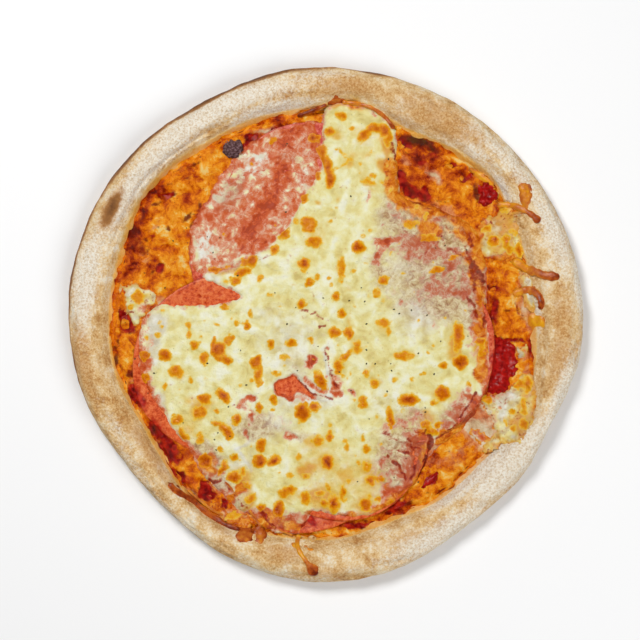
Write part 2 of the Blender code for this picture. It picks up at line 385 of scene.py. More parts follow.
def newGroup(name, values):
    # an empty node group that takes a colour and named values and gives a colour
    group = bpy.data.node_groups.new(name, "ShaderNodeTree")
    group.interface.new_socket(name="Colour", in_out="INPUT", socket_type="NodeSocketColor")
    for label, value in values.items():
        socket = group.interface.new_socket(name=label, in_out="INPUT", socket_type="NodeSocketFloat")
        socket.default_value = value
    group.interface.new_socket(name="Colour", in_out="OUTPUT", socket_type="NodeSocketColor")
    return group, group.nodes.new("NodeGroupInput").outputs, group.nodes.new("NodeGroupOutput").inputs


def makeBrowningGroup():
    # toasted marks: the colour turns from yellow over orange to brown as the mark's value rises
    group, given, result = newGroup("browning", {"Mark": 0.0, "Halo": 1.0})
    inMark = spread(group, given["Mark"], 0.02, 0.3)
    uneven = calc(group, "MULTIPLY_ADD", noise(group, 3.0, 6.0, 0.75), 1.3, -0.65)
    mark = calc(group, "MULTIPLY_ADD", uneven, inMark, given["Mark"])
    shade = ramp(group, mark, [
        (0.06, (236, 212, 112)), (0.16, (236, 192, 60)), (0.32, (234, 166, 22)), (0.5, (226, 140, 6)),
        (0.7, (212, 112, 0)), (0.88, (192, 86, 0)), (1.06, (152, 50, 0)),
    ])
    # without a halo the marks' yellow edges are left out
    kept = calc(group, "MULTIPLY_ADD", given["Halo"], 0.24, calc(group, "ADD", mark, -0.24))
    shade = mixed(group, spread(group, kept, 0.02, 0.22), given["Colour"], shade)
    group.links.new(shade, result["Colour"])
    return group


def makeSpeckleGroup():
    # tiny dark flecks of herb and pepper
    group, given, result = newGroup("speckles", {"Amount": 0.5})
    fleck = spread(group, noise(group, 1.7, 1.0), 0.75, 0.79)
    share = calc(group, "MULTIPLY", fleck, given["Amount"])
    group.links.new(mixed(group, share, given["Colour"], paint(70, 50, 34)), result["Colour"])
    return group


def laidOver(tree, shade, other, value, low, high, amount=1.0):
    # lays another colour over the shade, from none where a value is low to the amount where it is high
    share = spread(tree, value, low, high)
    if amount != 1.0:
        share = calc(tree, "MULTIPLY", share, amount)
    return mixed(tree, share, shade, other)


def newMaterial(name, specular, roughness=0.3):
    material = bpy.data.materials.new(name)
    material.use_nodes = True
    sockets = material.node_tree.nodes["Principled BSDF"].inputs
    sockets["Roughness"].default_value = roughness
    sockets["Specular IOR Level"].default_value = specular
    return material, material.node_tree


def finished(material, shade, height=None, distance=0.0, roughness=None):
    # leads the colour, the bump's height in mm and the roughness into the material's shader
    tree = material.node_tree
    sockets = tree.nodes["Principled BSDF"].inputs
    tree.links.new(shade, sockets["Base Color"])
    if height is not None:
        relief = put(tree, "ShaderNodeBump", {"Height": height, "Distance": distance * mm})
        tree.links.new(relief.outputs[0], sockets["Normal"])
    if roughness is not None:
        tree.links.new(roughness, sockets["Roughness"])
    return material


def useGroup(tree, group, inputs):
    return put(tree, "ShaderNodeGroup", inputs, node_tree=group).outputs["Colour"]


browning = makeBrowningGroup()
speckles = makeSpeckleGroup()

# The bread's outline and rim, as the solids have them.
bread = {
    "radius": 150.2, "topped": 125.0, "floor": 4.5,
    "rimHeight": 18.0, "rimSize": (25.0, 20.0), "waveStart": 0.251,
    "swells": [
        (45, 22, -1.8), (80, 14, -1.4), (118, 17, -3.2), (222, 27, -9.4), (308, 19, -7),
        (336, 13, -5.8), (185, 8, -0.8),
    ],
    "toppedSwells": [
        (8, 18, -4.6), (40, 7, 3.6), (66, 8, -2.4), (83, 6, 4.2), (143, 12, 3.6), (211, 12, -4.6),
        (240, 11, 4.6), (292, 13, -5.2), (316, 11, -4.4), (337, 6, 5),
    ],
    "rimWaves": [(2, 0.035, 0.4), (3, 0.04, 1.0), (5, 0.03, 2.4), (8, 0.02, 0.7), (13, 0.015, 1.9)],
    "section": [
        (-0.26, 0.25), (-0.14, 0.28), (-0.04, 0.41), (0.06, 0.58), (0.18, 0.77), (0.34, 0.93),
        (0.53, 1), (0.73, 0.96), (0.89, 0.82), (0.98, 0.62), (1, 0.4), (0.95, 0.19), (0.8, 0.05),
        (0.45, 0),
    ],
    "columns": 900,
    "rimRings": 88,
    # marks along the rim: angle, half width in degrees, place across the rim, half width across, strength
    # flour marks; the one at 104 degrees next to the toppings is painted light lifting the shade of the
    # rim's inner slope
    "flouryAndLit": [
        (169, 15, 0.62, 0.34, 1), (118, 26, 0.62, 0.34, 1.1), (140, 20, 0.4, 0.3, 1.1),
        (92, 10, 0.8, 0.2, 0.6), (40, 18, 0.7, 0.35, 0.7), (22, 14, 0.75, 0.3, 0.9),
        (48, 8, 0.3, 0.2, 0.6), (8, 10, 0.95, 0.14, 0.9), (338, 16, 0.85, 0.3, 1.2),
        (324, 14, 0.55, 0.45, 1.4), (315, 12, 0.15, 0.2, 1.1), (300, 20, 0.75, 0.35, 0.9),
        (207, 10, 0.6, 0.25, 0.5), (217, 12, 0.8, 0.22, 0.5), (232, 14, 0.9, 0.2, 0.5),
        (350, 8, 0.95, 0.1, 0.8), (285, 14, 0.3, 0.3, 0.3), (265, 12, 0.95, 0.12, 0.5),
        (245, 8, 0.55, 0.2, 0.3), (104, 14, 0.16, 0.2, 0.9), (318, 14, 0.1, 0.2, 1.2),
        (38, 6, 0.1, 0.16, 0.9), (3, 7, 0.05, 0.14, 0.8), (306, 8, 0.1, 0.18, 0.9),
    ],
    "toasted": [
        (85, 11, 0.45, 0.4, 0.8), (60, 16, 0.5, 0.45, 0.9), (192, 10, 0.35, 0.3, 0.4),
        (200, 16, 0.5, 0.4, 0.35), (2, 9, 0.55, 0.3, 0.75), (352, 9, 0.55, 0.3, 0.9),
        (20, 8, 0.2, 0.2, 0.5), (225, 16, 0.5, 0.4, 0.35), (270, 12, 0.75, 0.25, 0.55),
        (291, 9, 0.45, 0.25, 0.6), (247, 8, 0.8, 0.2, 0.4), (310, 12, 0.6, 0.3, 0.35),
        (151.5, 7, 0.5, 0.3, 1), (215, 14, 0.2, 0.28, 0.8), (244, 7, 0.25, 0.3, 0.6),
        (68, 10, 0.2, 0.3, 0.6), (268, 5, 0.6, 0.3, 0.5), (165, 12, 0.2, 0.2, 0.3),
        (335, 14, 0.3, 0.25, 0.3), (100, 8, 0.2, 0.2, 0.3), (188, 12, 0.72, 0.28, 0.9),
        (260, 7, 0.4, 0.3, 0.8),
    ],
    "charred": [
        (151.5, 6, 0.56, 0.2, 0.85), (112, 26, 1, 0.12, 1.15), (138, 16, 1, 0.12, 1.1),
        (165, 20, 1, 0.09, 0.9), (80, 7, 1.02, 0.1, 1.1), (190, 18, 1, 0.07, 0.7),
        (358, 12, 0.9, 0.1, 0.3), (235, 18, 1.02, 0.04, 0.4), (20, 30, 1.03, 0.04, 0.4),
        (320, 20, 1.03, 0.05, 0.4),
    ],
    "creases": [(135, 26, 0.22, 0.05, 1.0), (345, 22, 0.2, 0.05, 0.6), (60, 16, 0.75, 0.05, 0.5)],
    # where oil has run into the bread beside the toppings
    "oily": [
        (140, 24, 0, 1, 0.9), (95, 22, 0, 1, 0.25), (83, 9, 0, 1, 1.7), (48, 9, 0, 1, 0.8),
        (60, 24, 0, 1, 0.15), (285, 24, 0, 1, 0.1), (0, 14, 0, 1, 0.2), (250, 14, 0, 1, 0.4),
        (228, 14, 0, 1, 0.3),
    ],
}


def swollen(angle, radius, swells):
    # radius of a circle with bell-shaped swellings at given angles, in degrees
    degrees = np.degrees(angle)
    total = np.full(np.shape(angle), float(radius))
    for centre, halfWidth, height in swells:
        aside = (degrees - centre + 180.0) % 360.0 - 180.0
        total = total + height * np.exp(-((aside / halfWidth) ** 2))
    return total


def crustEdge(angle):
    return swollen(angle, bread["radius"], bread["swells"])


def toppedEdge(angle):
    return swollen(angle, bread["topped"], bread["toppedSwells"])


def rimRise(angle):
    # slow waves of the rim's height along it
    waves = [height * np.sin(count * angle + start) for count, height, start in bread["rimWaves"]]
    return 0.95 + sum(waves)


def rimSection(count):
    # the rim's section with its corners cut three times, read at even steps along it: across, height
    path = smoothPath(bread["section"])
    run = np.concatenate([[0.0], np.cumsum(np.hypot(*(np.diff(path, axis=0) * bread["rimSize"]).T))])
    even = np.linspace(0.0, run[-1], count)
    return np.interp(even, run, path[:, 0]), np.interp(even, run, path[:, 1])


def rimTop(x, y):
    # height of the bread's upper surface at a place
    across, height = rimSection(240)
    top = slice(0, int(np.argmax(across)))
    angle = np.arctan2(y, x)
    foot = toppedEdge(angle)
    share = (np.hypot(x, y) - foot) / (crustEdge(angle) - foot)
    return risen(np.interp(share, across[top], height[top]), angle)


def risen(level, angle):
    # a height along the section in mm, with the rim's waves wherever it is above the section's start
    return bread["rimHeight"] * level * np.where(level > bread["waveStart"], rimRise(angle), 1.0)


# Maps of the layers. Places and sizes are in mm. A mark is x, y, length, width and strength, and then its
# turn in degrees where it has one.
print("maps")
bearing = np.arctan2(rasterY, rasterX)
fromMiddle = np.hypot(rasterX, rasterY)
edgeOfToppings = toppedEdge(bearing)
warpX = rasterX + 0.9 * lumps(rasterX, rasterY, 4.5, 11, 2)
warpY = rasterY + 0.9 * lumps(rasterX, rasterY, 4.5, 21, 2)
looseX = rasterX + 2.4 * lumps(rasterX, rasterY, 8.0, 31, 3)
looseY = rasterY + 2.4 * lumps(rasterX, rasterY, 8.0, 41, 3)
crispX = warpX + 0.8 * lumps(rasterX, rasterY, 3.4, 12, 3)
crispY = warpY + 0.8 * lumps(rasterX, rasterY, 3.4, 22, 3)
sliceThickness = 0.8
# a curled edge has its rise, its direction in radians, how narrow it is from 0 to 1, and its width
slices = [
    {"node": "pepperoni_top", "x": -8.0, "y": 67.5, "radius": 50.0, "bake": 0.15},
    {"node": "pepperoni_lower_left", "x": -12.0, "y": -70.5, "radius": 50.5, "bake": 0.6},
    {"node": "pepperoni_upper_right", "x": 43.8, "y": 19.8, "radius": 50.0, "bake": 0.3},
    {"node": "pepperoni_upper_left", "x": -29.0, "y": 40.0, "radius": 49.5, "bake": 0.3},
    {"node": "pepperoni_left", "x": -59.5, "y": -24.5, "radius": 52.0, "bake": 0.9},
    {
        "node": "pepperoni_bottom", "x": 8.8, "y": -62.0, "radius": 52.0, "bake": 0.75,
        "curl": (1.2, -0.9, 0.5, 6.0),
    },
    {
        "node": "pepperoni_right", "x": 44.9, "y": -15.2, "radius": 53.6, "bake": 0.35,
        "curl": (2.4, -0.15, 0.45, 7.0),
    },
]
underLook = {
    "level": 7.1, "rise": 2.0,
    # count, reach, length, width, seed and share along the rim
    "strands": (1300, 128.0, 11.0, 4.0, 5, 0.4),
    "fineStrands": (2600, 128.0, 7.0, 1.8, 6, 0.3),
    # deep red sauce showing through, burnt brown, and pale or creamy cheese
    "sauce": [
        (-4, -114, 24, 6, 0.5), (-7, -114, 8, 6, 1), (3, -112.5, 6, 4, 0.8),
        (14, -117, 7, 3.5, 1, -10), (21, -115.5, 8, 4, 1), (-34, -111, 6, 7, 0.9),
        (-20, -117, 7, 5, 0.7), (-109, -43, 7, 17, 1, 28), (-99, -61, 7, 10, 0.9, 30),
        (-91, -74, 16, 12, 1, -42), (-84, -88, 14, 5, 0.9, -42), (-69, -97, 10, 9, 1, -40),
        (-59, -104, 5, 8, 0.7, -20), (-95, -62, 6, 22, 0.6, 30), (-115.5, 2, 7, 12, 1.2, 20),
        (-27, 113, 16, 5, 0.6, 20), (-45, 105, 13, 5, 1, 45), (103, -22, 13, 28, 1, 5),
        (88.5, 28, 4.5, 12, 0.9, 10), (97, 21, 9, 3.5, 1), (98.5, 8, 4, 14, 0.85),
        (108, -9.5, 20, 3, 0.9), (119, -14, 4, 9, 0.7), (57, 75, 7, 9, 0.95), (44, 85, 5.5, 12, 1, 30),
        (50, 77, 6, 10, 1, 35), (72, 92, 8, 3, 0.8, -15), (82, 85, 8, 4, 0.9, 30), (46, 105, 8, 7, 0.8),
        (62, 99, 14, 4, 0.6, -25), (62, -90, 9, 5, 0.9, 40), (40, -106, 18, 5, 0.8, 30),
        (57, 93, 5, 4, 0.7), (92, 58, 4, 8, 0.5, 10), (112, 9, 3, 6, 0.6), (-95, 33, 8, 4, 0.8, 30),
        (-92, 75, 9, 5, 0.9, 30), (-100, 50, 5, 4, 0.6), (100, -40, 8, 5, 0.9, -20),
    ],
    "burnt": [
        (-110, 50, 9, 14, 0.5, 20), (-105, 43, 8, 6, 0.6, 20), (-106, 62, 3, 9, 0.7, -20),
        (-98, 70, 7, 3, 0.7, 20), (-92, 80, 9, 2, 0.6, 20), (-80, 62, 3.5, 8, 0.75, -50),
        (-77, 57, 2.5, 6, 0.85), (-76, 92.5, 10, 2.2, 0.85, 25), (-86, 89, 9, 1.6, 0.7, 25),
        (-80, 84.5, 6, 3, 0.7, 20), (-91, 55, 4, 2.5, 0.8, -30), (-97, 56, 2, 1.5, 0.7),
        (-115, 43, 2, 8, 0.9, -15), (-104, 49, 3, 2, 0.9), (-106, 41, 4, 2, 0.9), (-100, 30, 3, 4, 0.8),
        (-48, 113.5, 7, 2, 0.7, 15), (-72, 68, 3, 7, 0.8, 20), (-73, 65, 3, 2.5, 0.8),
        (-114, 33, 4, 3, 0.6), (54, 106, 13, 3.6, 1.9, -14), (62, 102, 8, 2.4, 1.4, -32),
        (50, 97.5, 12, 1.5, 0.8, -20), (88, 76, 4.5, 13, 0.85, 8), (92, 85, 14, 2, 0.7, -22),
        (100, 71, 5, 2, 0.6), (50, 78, 3, 12, 0.8, 38), (58, 73, 3, 5, 0.8), (76, -94.5, 16, 3, 0.9, 36),
        (66.5, -97, 3, 3.5, 0.95), (60, -98, 3, 2, 0.8), (49, -104, 6, 3, 0.85, 30),
        (-112.5, -29, 6, 3.5, 1.2), (-121, -21, 3.5, 7, 1.1), (-122, -14, 2.4, 4, 0.9),
        (-105, -45, 4, 7, 0.85, 25), (-99, -61, 4, 6, 0.95), (-120, -10, 3, 5, 0.7),
        (-118, -25, 3, 4, 0.6), (-111, -17, 3, 7, 0.5), (105, 7.5, 4.5, 3, 0.65), (114, 4, 4, 4, 0.45),
        (104, -11.5, 9, 3, 0.9), (94, 21, 4, 3, 0.9), (62, 69, 5, 3, 0.5), (67, 71, 10, 1.6, 0.7, -15),
        (90, 30, 3, 9, 0.7, 10), (99, 14, 3, 2, 0.8),
    ],
    "cream": [
        (-83, 36, 5, 9, 0.2), (-90, 24, 8, 7, 0.1), (-99, 56, 6, 4, 0.4, 20), (-96, 60, 8, 3, 0.35),
        (-34, 112, 18, 4, 0.9, 5), (-78, 50, 6, 8, 0.3), (63, 86, 6, 12, 1, 50),
        (52, 66, 14, 9, 0.8, -20), (70, 62, 22, 12, 0.6, -35), (76, 50, 14, 12, 1, -30),
        (-96, 13, 8, 6, 0.8), (46, 94, 6, 7, 0.5), (72, -80, 16, 12, 0.35), (104, 56, 16, 14, 0.5),
        (98, 68, 10, 6, 0.3), (90, -64, 12, 20, 0.9, 40), (80, -74, 10, 9, 0.4), (60, -80, 7, 7, 0.3),
        (-112, -33, 7, 3, 0.6, -20), (113.5, -17, 7, 8, 1), (-68, -106, 18, 5, 0.9, -36),
        (-56, -112, 14, 7, 0.8, -30), (-62, -93, 10, 8, 0.9), (-48, -105, 10, 12, 1),
        (-46, -115, 5, 4, 1), (-78, -99, 8, 4, 0.8, -40), (-24, -116, 18, 10, 0.8),
        (95, -48, 12, 8, 0.9), (86, -62, 10, 8, 0.9), (100, -52, 10, 18, 1.1, 20), (108, -42, 12, 8, 1.1),
        (117, 12, 9, 16, 0.9), (118, 25, 10, 6, 0.9), (84, -55, 20, 18, 0.35, -30),
        (94, -62, 16, 14, 0.5), (110, 20, 8, 8, 0.3), (119, -1, 6, 8, 0.7), (108, -42, 12, 8, 0.9),
        (117, -26, 5, 6, 0.6), (-107, 12, 12, 12, 0.5), (-104, 38, 6, 5, 0.4, 30),
    ],
    # above zero more yellow, below zero more red
    "golden": [
        (-70, 90, 16, 18, 0.4, 30), (-82, 38, 7, 12, 0.8), (-88, 62, 18, 8, 0.6),
        (-60, 97, 12, 10, 0.4, 20), (-92, 54, 14, 8, 0.4), (-104, 38, 7, 6, 0.6, 30),
        (-70, 76, 10, 10, 0.35), (-92, 88, 16, 4, 0.5, 30), (81, 78, 18, 12, -0.2, -20),
        (84, 91, 20, 3, 1.1, -32), (75, 96, 16, 3, 1, -30), (100, 42, 16, 18, 0.7),
        (108, 13, 12, 8, 0.8), (118, 5, 6, 14, 0.8), (74, -77, 18, 14, 0.2, 30),
        (60, -103, 20, 6, 0.5, 15), (-84, -84, 8, 8, 0.5), (10, -122, 40, 4, 0.5, 3),
        (112, -30, 6, 14, 0.6), (70, -88, 8, 8, 0.3), (-115, -21, 5, 7, 0.2), (-113, -37, 4, 6, 0.6, 20),
        (-107, -53, 6, 12, 0.5, 35), (-106, 63, 9, 26, -1, -22), (-97, 77, 18, 8, -0.9, 30),
        (-110, 46, 14, 18, -1, 10), (-112, 32, 12, 12, -0.6), (-74, 62, 8, 12, -0.5),
        (-87, 45, 10, 12, 0.7), (54, 98, 26, 12, -0.7, -25), (46, 84, 14, 18, -0.6, 20),
        (93, 78, 8, 10, -0.4), (101, 78, 4, 9, 1.4, -20), (89, 28, 5, 16, -0.6), (104, 34, 10, 6, 0.3),
        (-98, -58, 14, 30, -0.6, 30), (0, -113, 60, 6, -0.6), (-117, -12, 10, 16, -0.6),
        (-113, -26, 8, 8, -0.3), (118, -14, 4, 12, -0.4), (99, 2, 6, 22, -0.5), (112, 4, 12, 14, 0.35),
        (-89, 25, 8, 9, 0.7), (62, -82, 6, 14, -0.4, -30), (46, -104, 12, 6, -0.6, 30),
        (2, -122, 14, 6, 0.3), (22, -118.5, 14, 3, 0.8, 5), (-48, -111, 10, 8, 0.6),
        (-84, -80, 10, 6, 0.6, -30), (112, 22, 20, 40, 0.5), (104, 20, 9, 10, -0.8),
        (94, 66, 20, 18, 0.6), (108, -12, 16, 16, 0.6), (76, -84, 30, 14, 0.15, 35),
        (-115, -10, 12, 30, 0.3), (-75, 88, 20, 14, -0.3), (0, -121, 60, 5, 0.3), (88, -56, 14, 12, -0.2),
        (84, -76, 14, 8, 0.2), (88, 52, 8, 8, -0.5),
    ],
}


def sliceDepth(one):
    # how far inside a slice's round outline each point of the raster lies
    return one["radius"] - np.hypot(rasterX - one["x"], rasterY - one["y"])


def drawUnderCheese():
    # level + strands and lumps - sauce, flat under the slices, and rising a little towards the rim
    broad = strandMaps(*underLook["strands"])[0]
    fine = strandMaps(*underLook["fineStrands"])[0]
    mound = 0.4 * blurred(broad, 1.0) + 0.2 * blurred(fine, 0.5) + 0.6 * lumps(looseX, looseY, 8.0, 51, 4)
    sauce = ovalMap(underLook["sauce"], looseX, looseY, 0.55, 0.3, 0.25)
    maps = {
        # painted light on the cheese's ridges and painted shade in its hollows: its height above its own
        # blur
        "ridgeShade": np.clip(0.5 + 0.55 * (mound - blurred(mound, 3.5)), 0.0, 1.0),
        "sauce": sauce,
        "burnt": ovalMap(underLook["burnt"], warpX, warpY, 0.5, 0.35, 0.35),
        "cream": bellMap(underLook["cream"], looseX, looseY),
        "golden": bellMap(underLook["golden"], looseX, looseY),
    }
    toRim = softStep((fromMiddle - edgeOfToppings + 10.0) / 10.0)
    cover = np.max([sliceDepth(one) for one in slices], axis=0)
    beside = softStep((3.0 - cover) / 5.0)
    uneven = 1.4 * mound + 0.8 * lumps(rasterX, rasterY, 16.0, 61, 2) - 1.2 * sauce
    height = underLook["level"] + beside * uneven + underLook["rise"] * toRim
    return np.where(fromMiddle < edgeOfToppings + 12.0, height, 8.0), maps


def drapeSlices(ground):
    # each slice rests on the blurred surface of what lies under it, with slow waves; edges can curl up
    covered = ground.copy()
    beds = []
    for order, one in enumerate(slices):
        rest = blurred(covered, 4.0) + 0.35 * lumps(rasterX, rasterY, 26.0, 71 + order, 2) + 0.2
        rest = blurred(np.maximum(rest, covered + 0.1), 1.2)
        inside = sliceDepth(one)
        if "curl" in one:
            rise, direction, narrow, width = one["curl"]
            side = np.arctan2(rasterY - one["y"], rasterX - one["x"])
            facing = softStep((np.cos(side - direction) - narrow) / 0.4)
            rest = rest + rise * facing * softStep((width - inside) / width)
        beds.append(rest)
        covered = np.where(inside > 0.0, rest + sliceThickness, covered)
    return covered, beds


